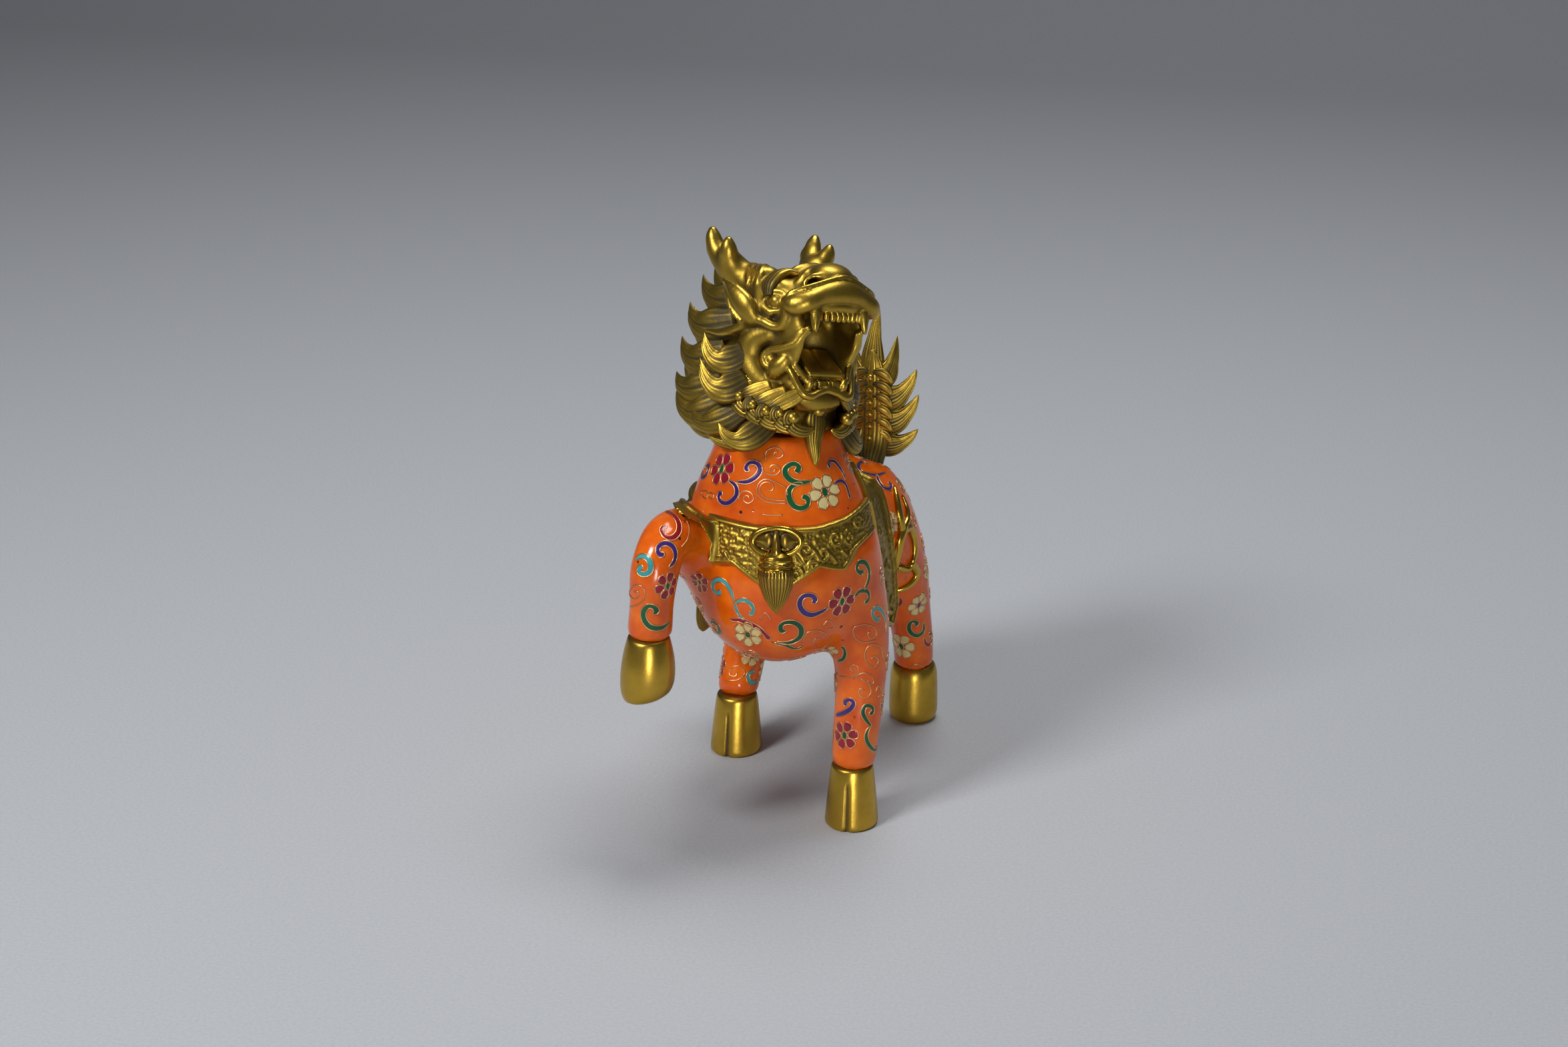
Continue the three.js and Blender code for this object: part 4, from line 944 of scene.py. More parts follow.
# A comma beside a bead is (outwards, up, back, half width, half thickness) from the bead; the core is
# (x, z, back, half width, half thickness) from the fan's foot, and starts inside the rump.
tailSettings = {"curls": 6, "pitch": 4.3, "firstCurl": 6, "middle": -0.3, "thick": 2.2,
                "bead": (1.35, 1.3, 1.35), "beadBack": -2.6,
                "comma": [(0.8, 1.9, -2, 0.6, 0.6), (2.6, 2, -1.9, 1.7, 0.8), (5, 0.8, -1.6, 2.1, 0.8),
                          (7.4, -1.6, -1, 0.8, 0.5)],
                "core": [(0, -10, -13, 4.4, 4.4), (0, -3, -4.5, 4.9, 4.2), (0, 5, -0.4, 6.2, 3.2),
                         (0, 20, 0, 6, 2.6), (0, 32, 0, 3.8, 2), (0, 37, 0, 0.8, 0.8)],
                "upright": [(0, 20), (-1, 38, 1), (1.4, 51, 3)], "uprightHalves": (4.6, 2.4),
                "flameLock": {"strands": 8, "depth": 0.4, "around": 52},
                "uprightLock": {"strands": 7, "depth": 0.4, "around": 72},
                "coreLock": {"strands": 9, "depth": 0.35, "around": 72, "smoothTip": 0.9},
                "commaLock": {"strands": 4, "depth": 0.3, "around": 30}}


def fanPoint(x, z, back=0.0):
    return tailFoot + (x, back, z)


# The fan: flame locks to both sides and one upright, a ribbed core, and a row of beads with a comma of
# hair on each side of each bead.
def makeTail():
    t = tailSettings
    parts = []
    for s in sides:
        for root, bend, tip, wide in tailLocks:
            ends = [fanPoint(s * p[0], p[1], back) for p, back in zip((root, bend, tip), (0, 1, 3))]
            parts.append(lockSkin(flamePath(*ends, wide, t["thick"]), (0, 0, 1), **t["flameLock"]))
    upright = flamePath(*[fanPoint(*p) for p in t["upright"]], *t["uprightHalves"])
    parts.append(lockSkin(upright, (1, 0, 0), **t["uprightLock"]))
    core = smoothPath([(*fanPoint(*row[:3]), *row[3:]) for row in t["core"]], 44)
    parts.append(lockSkin(core, (1, 0, 0), **t["coreLock"]))
    for z in t["firstCurl"] + t["pitch"] * np.arange(t["curls"]):
        parts.append(eggSkin(fanPoint(t["middle"], z, t["beadBack"]), t["bead"]))
        for s in sides:
            comma = [(*fanPoint(t["middle"] + s * x, z + up, back), wide, thick)
                     for x, up, back, wide, thick in t["comma"]]
            parts.append(lockSkin(smoothPath(comma, 20), (0, 0, 1), **t["commaLock"]))
    return joinParts(parts)


addPiece("tail_fan", makeTail(), castBrass, "cast_brass", "tail")

print("relief plates")


# The distance from 2-D places to a line of short straight pieces.
def lineDistance(places, line):
    best = np.full(places.shape[:-1], far)
    for a, b in zip(line[:-1], line[1:]):
        span = b - a
        t = (((places - a) @ span) / max(span @ span, 1e-9)).clip(0, 1)
        off = places - a - t[..., None] * span
        best = np.minimum(best, np.sqrt((off * off).sum(-1)))
    return best


# Signed distance to a closed outline, below zero inside: inside where a ray crosses it oddly often.
def outlineDistance(places, outline):
    outline = np.asarray(outline, float)
    ends = np.roll(outline, -1, 0)
    inside = np.zeros(places.shape[:-1], bool)
    for (ax, ay), (bx, by) in zip(outline, ends):
        crosses = (ay > places[..., 1]) != (by > places[..., 1])
        at = ax + (places[..., 1] - ay) * (bx - ax) / (by - ay if by != ay else 1e-9)
        inside ^= crosses & (places[..., 0] < at)
    away = lineDistance(places, np.vstack([outline, outline[:1]]))
    return np.where(inside, -away, away)


# A curl for scroll work: a spiral whose radius falls evenly from `radius` to a fifth of it.
def curlLine(centre, radius, start, turns, count=26):
    t = np.linspace(0, 1, count)
    angle = np.radians(start) + 2 * np.pi * turns * t
    reach = radius * (1 - 0.8 * t)
    return np.stack([centre[0] + reach * np.cos(angle), centre[1] + reach * np.sin(angle)], 1)


# A height map over a flat patch, with its low corner and step.
def reliefMap(low, high, step):
    axes = [np.arange(l, h, step) for l, h in zip(low, high)]
    places = np.stack(np.meshgrid(*axes, indexing="ij"), -1)
    return {"low": np.array(low, float), "step": step, "places": places}


# A height map's value at any places, blended from the four grid points round each.
def readMap(relief, height, u, v):
    q = (np.stack([u, v], -1) - relief["low"]) / relief["step"]
    i = np.clip(np.floor(q).astype(int), 0, np.array(height.shape) - 2)
    f = np.clip(q - i, 0, 1)
    a, b = i[..., 0], i[..., 1]
    return ((height[a, b] * (1 - f[..., 0]) + height[a + 1, b] * f[..., 0]) * (1 - f[..., 1])
            + (height[a, b + 1] * (1 - f[..., 0]) + height[a + 1, b + 1] * f[..., 0]) * f[..., 1])


# Half-round ridges: height times the root of 1 - (distance / half width) squared.
def ridge(distance, half, height):
    return height * np.sqrt((1 - (distance / half) ** 2).clip(0))


# A punched ground: domes of uneven size on a jittered grid, the nearest dome's height at each place.
def pebbles(relief, pitch, height, seed):
    places = relief["places"]
    draw = np.random.default_rng(seed)
    cells = np.floor(places / pitch).astype(int)
    origin = cells.min((0, 1)) - 2
    span = cells.max((0, 1)) - origin + 3
    jitter = draw.uniform(0.15, 0.85, (*span, 2))
    size = draw.uniform(0.35, 0.62, span)
    best = np.zeros(places.shape[:2])
    for dx in (-1, 0, 1):
        for dy in (-1, 0, 1):
            cell = cells + (dx, dy)
            k = tuple(np.moveaxis(cell - origin, -1, 0))
            off = places / pitch - cell - jitter[k]
            away = np.sqrt((off * off).sum(-1)) / size[k]
            best = np.maximum(best, size[k] * np.sqrt((1 - away**2).clip(0)))
    return height * best / 0.62


# How far past its outline and from the trunk a plate's field is worked out, and a relief's step.
plateMargin, plateReach, reliefStep = 1.5, 5.0, 0.2


# The trunk's distance, read at every other grid point, and each value repeated.
def coarseDistance(points):
    coarse = sample(trunkField, points[::2, ::2, ::2])
    for axis in range(3):
        coarse = coarse.repeat(2, axis)
    return coarse[:points.shape[0], :points.shape[1], :points.shape[2]]


def allPoints(field):
    high = field["low"] + field["step"] * np.array(field["value"].shape)
    return window(field, field["low"] - field["step"], high)[1]


# The skin of a plate's field, with its recess marks, which darken its hollows as painted shade, with patina.
def plateSkin(field, reach, strength=0.9):
    vertices, faces = netSurface(field)
    return vertices, faces, strength * shutIn(field, vertices, reach)


collarSettings = {
    "cell": 0.4, "proud": 1.25, "sunk": 0.5, "rim": 0.75, "rimHalf": 0.75, "rimAt": 0.85, "pebble": 1.15,
    "pebbleHeight": 0.42, "pebbleSeed": 3, "scroll": 0.75, "scrollHalf": 0.62, "axis": (0, -8),
    "radius": 30.0, "back": -4.5, "map": ((-60, 82), (60, 116)),
    "leaves": (-34, -29, -23.5, -17.5, -8.5, 9.5, 14.5, 20, 25, 30.5, 35.5),
    "leaf": [(-1.2, 2.4), (0.4, 0.4), (1.6, -1.6)], "leafHeight": 97, "leafWave": 1.5,
    "outline": [(-38, 113), (-26, 109.2), (-16, 108.2), (-8, 107.9), (-2, 107.6), (7, 107.4), (18, 107),
                (25.5, 108), (29, 109.6), (38, 111.5), (38, 99), (31.5, 98.6), (29.6, 97.2), (28.6, 94),
                (27.2, 91.6), (23.5, 93), (20.4, 94.4), (17, 92.2), (13.5, 89.8), (7, 87.4), (0.5, 90.8),
                (-3.6, 93.2), (-7, 95.2), (-11, 94.2), (-16, 93.4), (-24, 93.2), (-38, 94)],
}
# Scrolls of the collar: (distance round the chest from the front, height, radius, start angle, turns).
collarCurls = [(-15, 99.5, 2.9, 200, 1.3), (-20.5, 98.2, 2.6, 20, -1.2), (-11.5, 94.6, 2.2, 90, 1.2),
               (-26, 101.5, 2.7, 160, 1.3), (17, 100.5, 2.9, -20, -1.3), (22.5, 98.6, 2.6, 160, 1.2),
               (27.5, 102.5, 2.6, 20, -1.3), (13.5, 93.2, 2.1, 60, -1.2), (19, 95.2, 2, 200, -1.2),
               (-18, 95.2, 2, -20, 1.2), (33, 101.5, 2.5, 100, 1.3), (-32, 101, 2.5, 60, -1.3),
               (38, 105, 2.3, 10, 1.3), (-37.5, 105, 2.3, 170, -1.3)]


# Where a place lies round the chest: the angle about an upright axis times a mean radius.
def chestRound(x, y, s=collarSettings):
    return s["radius"] * np.arctan2(x - s["axis"][0], s["axis"][1] - y)


# The least distance from each place of a relief to the curls: (centre, radius, start angle, turns).
def curlDistance(places, curls):
    clear = np.full(places.shape[:2], far)
    for x, z, radius, start, turns in curls:
        clear = np.minimum(clear, lineDistance(places, curlLine((x, z), radius, start, turns)))
    return clear


# The collar's relief: curls and short leaves as half-round ridges on a punched ground.
def collarHeight(s):
    relief = reliefMap(*s["map"], reliefStep)
    places = relief["places"]
    height = pebbles(relief, s["pebble"], s["pebbleHeight"], s["pebbleSeed"])
    clear = curlDistance(places, collarCurls)
    for x in s["leaves"]:
        line = np.array(s["leaf"]) + (x, s["leafHeight"] + s["leafWave"] * np.sin(x))
        clear = np.minimum(clear, lineDistance(places, line))
    scroll = ridge(clear, s["scrollHalf"], s["scroll"])
    return relief, np.maximum(np.where(clear < s["scrollHalf"] + 0.25, 0, height), scroll)


# A raised plate that follows the trunk: what is common to four shapes, outside its inner face a little
# under the enamel, inside its relief, inside its outline and in front of its back edge.
def makeCollar():
    s = collarSettings
    field = newField((-33, -42, 84), (33, s["back"] + 1, 113), s["cell"])
    points = allPoints(field)
    edge = outlineDistance(points[:, 0][:, :, [0, 2]], s["outline"])
    edge = np.broadcast_to(edge[:, None], points.shape[:3])
    near = (edge < plateMargin) & (np.abs(coarseDistance(points)) < plateReach)
    x, y, z = points[near].T
    edge, depth = edge[near], sample(trunkField, points[near])
    relief, height = collarHeight(s)
    rim = ridge(edge + s["rimAt"], s["rimHalf"], s["rim"])
    raised = np.where(edge > -2 * s["rimAt"], rim, readMap(relief, height, chestRound(x, y), z))
    value = common(depth - s["proud"] - raised, -depth - s["sunk"], edge, y - s["back"])
    field["value"][near] = value.astype(np.float32)
    return plateSkin(field, 0.9)


addPiece("chest_collar", makeCollar(), castBrass, "cast_brass", "collar")

print("saddle cloth")
# The flaps hang outside the trunk: their outer face lies `faces` from the middle at each of `heights`,
# and they are thick enough above to reach the trunk. `outline` is [y, z] seen from the side.
clothSettings = {
    "cell": 0.5, "proud": 1.2, "sunk": 0.5, "heights": (55, 74, 83, 90, 98, 101.5, 104.5, 106.5, 107.6),
    "faces": (32.6, 30.6, 29.2, 27.2, 23.9, 20.9, 14.5, 8, 0), "thickHeights": (82, 95, 104),
    "thicks": (2.2, 8, 14), "map": ((-4, 52), (40, 122)), "flapEnd": 107.6, "closeTo": 82.0,
    "fillet": 2.5, "rim": 0.8, "rimHalf": 0.8, "rimAt": 0.95, "bar": 0.8, "barHalf": 0.75, "barAt": 4.6,
    "groove": -0.5, "pebble": 1.2, "pebbleHeight": 0.35, "pebbleSeed": 5, "scroll": 0.75,
    "scrollHalf": 0.6,
    "outline": [(-2, 107), (3, 88), (7, 72), (10, 60), (18, 56), (27, 60), (30, 72), (31, 86), (36, 94),
                (37, 100), (33, 118), (4, 118)],
}
clothCurls = [(12, 98, 2.8, 0, 1.3), (17, 91, 2.8, 180, 1.3), (14, 83.5, 2.6, 0, -1.3),
              (19.5, 77, 2.6, 180, -1.3), (15, 70.5, 2.4, 20, 1.3), (20, 65, 2.3, 180, 1.3),
              (16, 106, 2.6, 180, -1.3)]


# Relief of the cloth by [y, z] seen from the side: a rim inside the outline, a groove, a bar beside it,
# and a punched ground with curls in the middle.
def clothHeight(s):
    relief = reliefMap(*s["map"], reliefStep)
    edge = outlineDistance(relief["places"], s["outline"])
    clear = curlDistance(relief["places"], clothCurls)
    ground = np.where(clear < 0.9, 0, pebbles(relief, s["pebble"], s["pebbleHeight"], s["pebbleSeed"]))
    middle = np.maximum(ground, ridge(clear, s["scrollHalf"], s["scroll"]))
    middle = np.maximum(ridge(np.abs(edge + s["barAt"]), s["barHalf"], s["bar"]), middle)
    border = np.where(edge > -2 * s["rimAt"], ridge(edge + s["rimAt"], s["rimHalf"], s["rim"]), s["groove"])
    return relief, np.where(edge > -3.4, border, middle)


# The cloth is two shells joined by a fillet: one follows the trunk over the back, and one hangs at each
# side between its outer face and its thickness. Both end at the outline.
def makeCloth():
    s = clothSettings
    field = newField((-36, -5, 53), (36, 40, 118), s["cell"])
    points = allPoints(field)
    edge = np.broadcast_to(outlineDistance(points[0][:, :, 1:], s["outline"])[None], points.shape[:3])
    hanging = np.abs(points[..., 0]) < np.interp(points[0, 0, :, 2], s["heights"], s["faces"]) + 4
    lying = (np.abs(coarseDistance(points)) < plateReach) & (points[..., 2] > s["closeTo"] - 4)
    near = (edge < plateMargin) & (lying | hanging & (points[..., 2] < s["flapEnd"] + 2))
    x, y, z = points[near].T
    edge, depth = edge[near], sample(trunkField, points[near])
    raised = readMap(*clothHeight(s), y, z)
    upper = common(depth - s["proud"] - raised, -depth - s["sunk"], s["closeTo"] - z)
    out = np.abs(x) - np.interp(z, s["heights"], s["faces"])
    flap = common(out - raised, -out - np.interp(z, s["thickHeights"], s["thicks"]), z - s["flapEnd"])
    field["value"][near] = np.maximum(fillet(upper, flap, s["fillet"]), edge).astype(np.float32)
    return plateSkin(field, 1.0)


addPiece("saddle_cloth_plate", makeCloth(), castBrass, "cast_brass", "saddle_cloth")

print("haunch flames")
# Ribs by [y, z] from the side, from foot to tip, and the half width at the foot.
flameRibs = [
    ([(50, 80.5), (47, 76), (46.8, 69), (47.4, 62), (47, 56.5)], 1.6),
    ([(48.5, 78), (48.5, 86), (51, 90), (54, 93)], 1.4),
    ([(50, 79.5), (54, 81.5), (56, 84.5), (56, 89.5)], 1.0),
    ([(49, 79), (54, 78), (56.2, 73), (54.5, 66.5), (50, 63.5)], 1.4),
    ([(48, 66), (52, 64), (56, 65.5)], 1.2),
    ([(53, 66), (57, 60.5), (53.5, 56), (47, 54)], 1.3),
]
ribSettings = {"rows": 48, "around": 16, "start": 60.0, "drops": 60, "least": 17, "proud": 0.35, "wide": 1.25,
               "high": 0.85}


# The skin's outward direction and the direction across, at each point of a path on the body.
def skinFrame(points, closed=False):
    normal = outward(bodyField, points)
    run = np.roll(points, -1, 0) - np.roll(points, 1, 0) if closed else np.gradient(points, axis=0)
    return normal, np.cross(unitRows(run), normal)


# A rib laid on the skin: its path is seen from the side, dropped on the haunch along x and settled on
# the body's field, with an oval section that tapers as 1 - 0.75 t^2 and a point at its tip.
def ribSkin(path, half, s):
    r = ribSettings
    flat = smoothPath([(y, z, 0) for y, z in path], r["rows"])
    points = np.stack([np.full(r["rows"], s * r["start"]), flat[:, 0], flat[:, 1]], 1)
    for _ in range(r["drops"]):
        points[:, 0] -= s * np.clip(sample(bodyField, points), -2, 4)
        points[:, 0] = s * np.maximum(s * points[:, 0], r["least"])  # past the leg's edge: no further in
    t = np.linspace(0, 1, r["rows"])[:, None]
    points = settle(bodyField, points, r["proud"])
    normal, across = skinFrame(points)
    wide = r["wide"] * half * (1 - 0.75 * t**2) * (1 - ease(t, 0.93, 1.0) * 0.85)
    angle = roundAngles(r["around"])
    c, q = np.cos(angle), np.sin(angle)
    rings = ringsAlong(points, across, normal, c * wide, q * r["high"] * wide)
    # Painted light and shade: the rib is lighter along its crest and darker on its side towards the skin.
    return markedSkin(rings, np.broadcast_to(-0.1 - 0.1 * q + 0.25 * (q < -0.2), rings.shape[:2]))


for s in sides:
    ribs = joinParts([ribSkin(path, half, s) for path, half in flameRibs])
    addPiece("haunch_ribs_" + sideNames[s], ribs, giltBrass, "cast_brass", "haunch_flame_" + sideNames[s])

# The ribbed fringe that hangs from the foot of the right flap of the cloth.
fringeStations = [(-31.6, 18, 64, 9, 1), (-32.2, 18, 60, 9.6, 1.4), (-32.6, 17.6, 55, 8.6, 1.4),
                  (-32.4, 17.2, 51, 6.4, 1.2), (-32, 17, 49, 3.4, 0.7)]
fringeLock = {"strands": 11, "depth": 0.5, "around": 88, "smoothTip": 0.9}
fringe = lockSkin(smoothPath(fringeStations, 30), (0, 1, 0), **fringeLock)
addPiece("cloth_fringe", fringe, castBrass, "cast_brass", "saddle_cloth")

print("tassel")
tasselSettings = {
    "at": (7.2, -36.0, 103.2), "lean": -0.2, "radius": 6.0, "length": 21.0, "flat": 0.8, "hang": 1.09,
    "loopWide": 17.6, "loopHigh": 10.8, "wire": 1.1, "bend": 34.0, "turn": 12.5, "cords": 30,
    "grooveDeep": 0.35, "band": 0.75, "squiggleHigh": 0.3, "rows": 120, "around": 150, "loopRows": 96,
    "loopAround": 24, "petal": [(0.6, -0.9, 0.2), (3.4, -1.4, 0.6), (6.4, -0.7, 0.2)],
    "petalHalves": (2.9, 0.9),
    # the knob between the petals, down the middle: (x, y, z, radius)
    "knob": [(0, -0.6, 3.4, 0.9), (0, -1.4, 1.6, 1.2), (0, -1.8, -1.2, 1.35), (0, -1.6, -3.6, 1.7),
             (0, -1, -5, 1.2)],
    # radius and height above the tip, as shares: the cords' point, their swell, the band and the cap
    "profile": [(0.02, 0), (0.30, 0.08), (0.62, 0.22), (0.9, 0.42), (1, 0.58), (0.97, 0.66), (0.84, 0.69),
                (0.84, 0.70), (0.93, 0.72), (0.93, 0.78), (0.84, 0.80), (0.86, 0.82), (0.8, 0.87),
                (0.6, 0.92), (0.36, 0.96), (0.3, 0.98), (0.34, 1), (0.24, 1.03), (0.2, 1.12)],
}


# The tassel's bundle is its profile spun round: r(t) from the list, less a cosine groove for each cord
# below the band, with a row of squiggles standing on the band.
def tasselBundle(s):
    profile = np.array(s["profile"]) * (s["radius"], s["length"])
    t = np.linspace(0, len(profile) - 1, s["rows"])
    r, h = (np.interp(t, np.arange(len(profile)), column)[:, None] for column in profile.T)
    share = h / s["length"]
    angle = roundAngles(s["around"])
    groove = 1 - np.abs(np.sin(s["cords"] / 2 * angle)) ** 0.7
    groove = groove * ease(share, 0.02, 0.14) * (1 - ease(share, 0.655, 0.67))
    wavy = np.abs(share - s["band"] - 0.018 * np.sin(9 * angle))
    squiggle = s["squiggleHigh"] * (1 - ease(wavy, 0.006, 0.014)) * (np.abs(share - s["band"]) < 0.035)
    r = r - s["grooveDeep"] * groove + squiggle
    height = np.broadcast_to(h - s["hang"] * s["length"], r.shape)
    rings = np.stack([r * np.cos(angle), s["flat"] * r * np.sin(angle), height], -1)
    # Darker in the cords' grooves and on the band between the squiggles: painted shade, with dirt.
    bandDirtAndShade = 0.16 * (np.abs(share - s["band"]) < 0.03) * (squiggle < 0.1)
    return markedSkin(rings, 0.4 * groove + bandDirtAndShade - 0.1)


# The tassel in its own upright frame: an oval wire loop round a plate with two petals and a knob, and
# the bundle below. It is then bent round the chest, leaned and put in its place.
def makeTassel(s):
    wide, high = s["loopWide"] / 2 - s["wire"], s["loopHigh"] / 2 - s["wire"]
    u, v = roundAngles(s["loopRows"])[0], roundAngles(s["loopAround"])[..., None]
    centre = np.stack([wide * np.cos(u), 0 * u, high * np.sin(u)], 1)
    run = unitRows(np.roll(centre, -1, 0) - np.roll(centre, 1, 0))
    out = np.cross(run, (0, 1, 0))
    rings = centre[:, None] + s["wire"] * (out[:, None] * np.cos(v) + np.array([0, 1, 0]) * np.sin(v))
    parts = [(*loopSkin(rings), np.full(rings[..., 0].size, -0.15))]
    plate = eggSkin((0, 0.6, 0), (wide, 1.0, high), 20, 48)
    # The plate within the loop is marked darker: painted shade, with patina.
    parts.append((*plate[:2], np.full(len(plate[0]), 0.12)))
    for k in sides:  # two lens-shaped petals beside the knob
        petal = flamePath(*[(x * k, y, z) for x, y, z in s["petal"]], *s["petalHalves"], 28)
        petal[:, 3:] = petal[:, 3:] * np.sin(np.pi * (0.1 + 0.85 * np.linspace(0, 1, len(petal))))[:, None]
        parts.append(lockSkin(petal, (0, 0, 1), strands=1, depth=0.0, around=36))
    knob = smoothPath([row + (row[3],) for row in s["knob"]], 30)
    parts += [lockSkin(knob, (1, 0, 0), strands=1, depth=0.0, around=28), tasselBundle(s)]
    lean = turnAbout("Z", s["turn"]) @ np.array(Matrix.Rotation(s["lean"], 3, "X"))
    vertices, faces, mark = joinParts(parts)
    vertices[:, 1] += vertices[:, 0] ** 2 / (2 * s["bend"])
    return vertices @ lean.T + s["at"], faces, mark


addPiece("tassel_casting", makeTassel(tasselSettings), giltBrass, "gilt_brass", "tassel")

# The camera's angles in degrees, its distance in millimetres, and the picture's scale at the aim point.
stageSettings = {"azimuth": 15.0, "elevation": 20.0, "distance": 950.0, "pixelsPerMm": 4.6, "aim": (0, 0, 96),
                 "imageWidth": 2349, "sensor": 36.0, "nearest": 110}
cropLow, cropScale = np.array([900.0, 640.0]), 2.904  # the drawn pixels: photo pixels less a corner, enlarged
pictureMiddle = np.array([1174.5, 784.0])


# The camera's place and axes in the figure's own frame: its right, its up, and back towards it.
def cameraAxes(s):
    a, e = np.radians([s["azimuth"], s["elevation"]])
    right = np.array([np.cos(a), np.sin(a), 0])
    back = np.array([np.sin(a) * np.cos(e), -np.cos(a) * np.cos(e), np.sin(e)])
    return np.array(s["aim"]) + s["distance"] * back, right, np.cross(back, right), back


print("collar strap")
# The collar's end climbs over the raised leg's shoulder. Its outline is drawn in the picture, in drawn
# pixels, and its shell lies on the whole body: a prism along the view cuts it, with a rim on its upper edge.
strapSettings = {
    "cell": 0.4, "proud": 1.15, "under": 0.5, "sunk": 0.8, "sinks": (440, 500), "rim": 0.8, "rimHalf": 0.8,
    "rimAt": 0.85, "back": -11.0, "low": (-32, -40, 88), "high": (-9, -7, 118), "map": ((-60, 82), (60, 122)),
    "outline": [(512, 402), (470, 388), (441, 372), (405, 345), (372, 318), (335, 285), (300, 300),
                (322, 351), (359, 389), (400, 402), (430, 414), (452, 450), (478, 505), (472, 540),
                (466, 590), (520, 590), (520, 440)],
    "upperEdge": [(540, 410), (512, 402), (470, 388), (441, 372), (405, 345), (372, 318), (335, 285)],
}


def makeStrap():
    s, c, view = strapSettings, collarSettings, stageSettings
    place, right, up, back = cameraAxes(view)
    field = newField(s["low"], s["high"], s["cell"])
    points = allPoints(field)
    away = points - place
    scale = view["pixelsPerMm"] * view["distance"] / -(away @ back)
    seen = np.stack([away @ right * scale, -(away @ up) * scale], -1)
    pixels = (seen + pictureMiddle - cropLow) * cropScale
    perPixel = 1 / (cropScale * view["pixelsPerMm"])
    edge = outlineDistance(pixels, s["outline"]) * perPixel
    upper = lineDistance(pixels, np.array(s["upperEdge"], float)) * perPixel
    depth = sample(bodyField, points)
    relief = reliefMap(*s["map"], reliefStep)
    raised = readMap(relief, pebbles(relief, c["pebble"], c["pebbleHeight"], c["pebbleSeed"]),
                     chestRound(points[..., 0], points[..., 1]), points[..., 2])
    raised = np.where(upper < 2 * s["rimAt"], ridge(upper - s["rimAt"], s["rimHalf"], s["rim"]), raised)
    outer = depth - (s["proud"] - s["sunk"] * ease(pixels[..., 0], *s["sinks"])) - raised
    field["value"][...] = common(outer, -depth - s["under"], edge, points[..., 1] - s["back"])
    return plateSkin(field, 0.9)


addPiece("collar_strap", makeStrap(), castBrass, "cast_brass", "collar")

print("inlays")


# Where the camera's rays through the drawn pixels meet the body: each ray steps on by the field's value.
def seenOnBody(pixels):
    s = stageSettings
    place, right, up, back = cameraAxes(s)
    q = (cropLow + np.asarray(pixels, float) / cropScale - pictureMiddle) / (s["pixelsPerMm"] * s["distance"])
    ray = unitRows(q[:, :1] * right - q[:, 1:] * up - back)
    points = place + ray * (s["distance"] - s["nearest"])
    for _ in range(90):
        points = points + ray * np.clip(sample(bodyField, points) * 0.8, -1, 3)[:, None]
    return points, np.abs(sample(bodyField, points)) < 0.2


# The same line with its points spaced evenly along it.
def evenly(points, pitch, closed=False):
    points = np.vstack([points, points[:1]]) if closed else np.asarray(points)
    run = np.concatenate([[0], np.cumsum(lengths(np.diff(points, axis=0)))])
    count = max(4, int(round(run[-1] / pitch)) + 1)
    at = np.linspace(0, run[-1], count)
    even = np.stack([np.interp(at, run, points[:, k]) for k in range(points.shape[1])], 1)
    return even[:-1] if closed else even


# Lays a flat drawing on the body: each place walks out from the centre in eight steps, each dropped
# back on the surface and turned into its tangent plane.
def wrapOnBody(centre, upwards, flat):
    flat = np.asarray(flat, float)
    normal = outward(bodyField, np.array([centre]))[0]
    up = unitRows(upwards - (upwards @ normal) * normal)
    right = np.cross(up, normal)
    reach = np.linalg.norm(flat, axis=1, keepdims=True)
    heading = (flat[:, :1] * right + flat[:, 1:] * up) / reach.clip(1e-6)
    points = np.repeat([centre], len(flat), 0)
    for _ in range(8):
        points = settle(bodyField, points + heading * reach / 8, rounds=1)
        slope = outward(bodyField, points)
        heading = unitRows(heading - (heading * slope).sum(1, keepdims=True) * slope)
    return points


inlaySettings = {"fillProud": 0.07, "wireHalf": 0.23, "wireHigh": 0.15, "wireProud": 0.06, "pitch": 0.5}
fills = {name: [] for name in inlayEnamel}
wires = []


# A wire on the skin: an oval tube along the path, six-sided, half sunk in the enamel.
def layWire(points, closed=False):
    s = inlaySettings
    points = evenly(points, s["pitch"], closed)
    points = settle(bodyField, points, s["wireProud"])
    normal, across = skinFrame(points, closed)
    angle = roundAngles(6)
    rings = ringsAlong(points, across, normal, s["wireHalf"] * np.cos(angle), s["wireHigh"] * np.sin(angle))
    wires.append(loopSkin(rings) if closed else ringSkin(rings))


# A ribbon's half width as shares: at the foot, its swell, and its head's with its place and breadth. Its
# section is shares of the half width, and how proud each stands, as shares of the fill's; the last two
# are under the skin. A patch's rings are given the same way.
ribbonSettings = {"foot": 0.34, "swell": 0.66, "head": 0.42, "headAt": 0.93, "headBroad": 0.07,
                  "footEnd": 0.05, "headFrom": 0.94, "headEnd": 0.06, "least": 0.15,
                  "across": np.array([-1, -0.8, -0.4, 0, 0.4, 0.8, 1, 0.6, -0.6]),
                  "proud": np.array([-0.12, 0.55, 0.9, 1, 0.9, 0.55, -0.12, -3.5, -3.5])}
patchSettings = {"reach": (0.85, 1.0, 0.88, 0.5), "proud": (-3.5, -0.1, 0.7, 1.0), "under": -0.25}


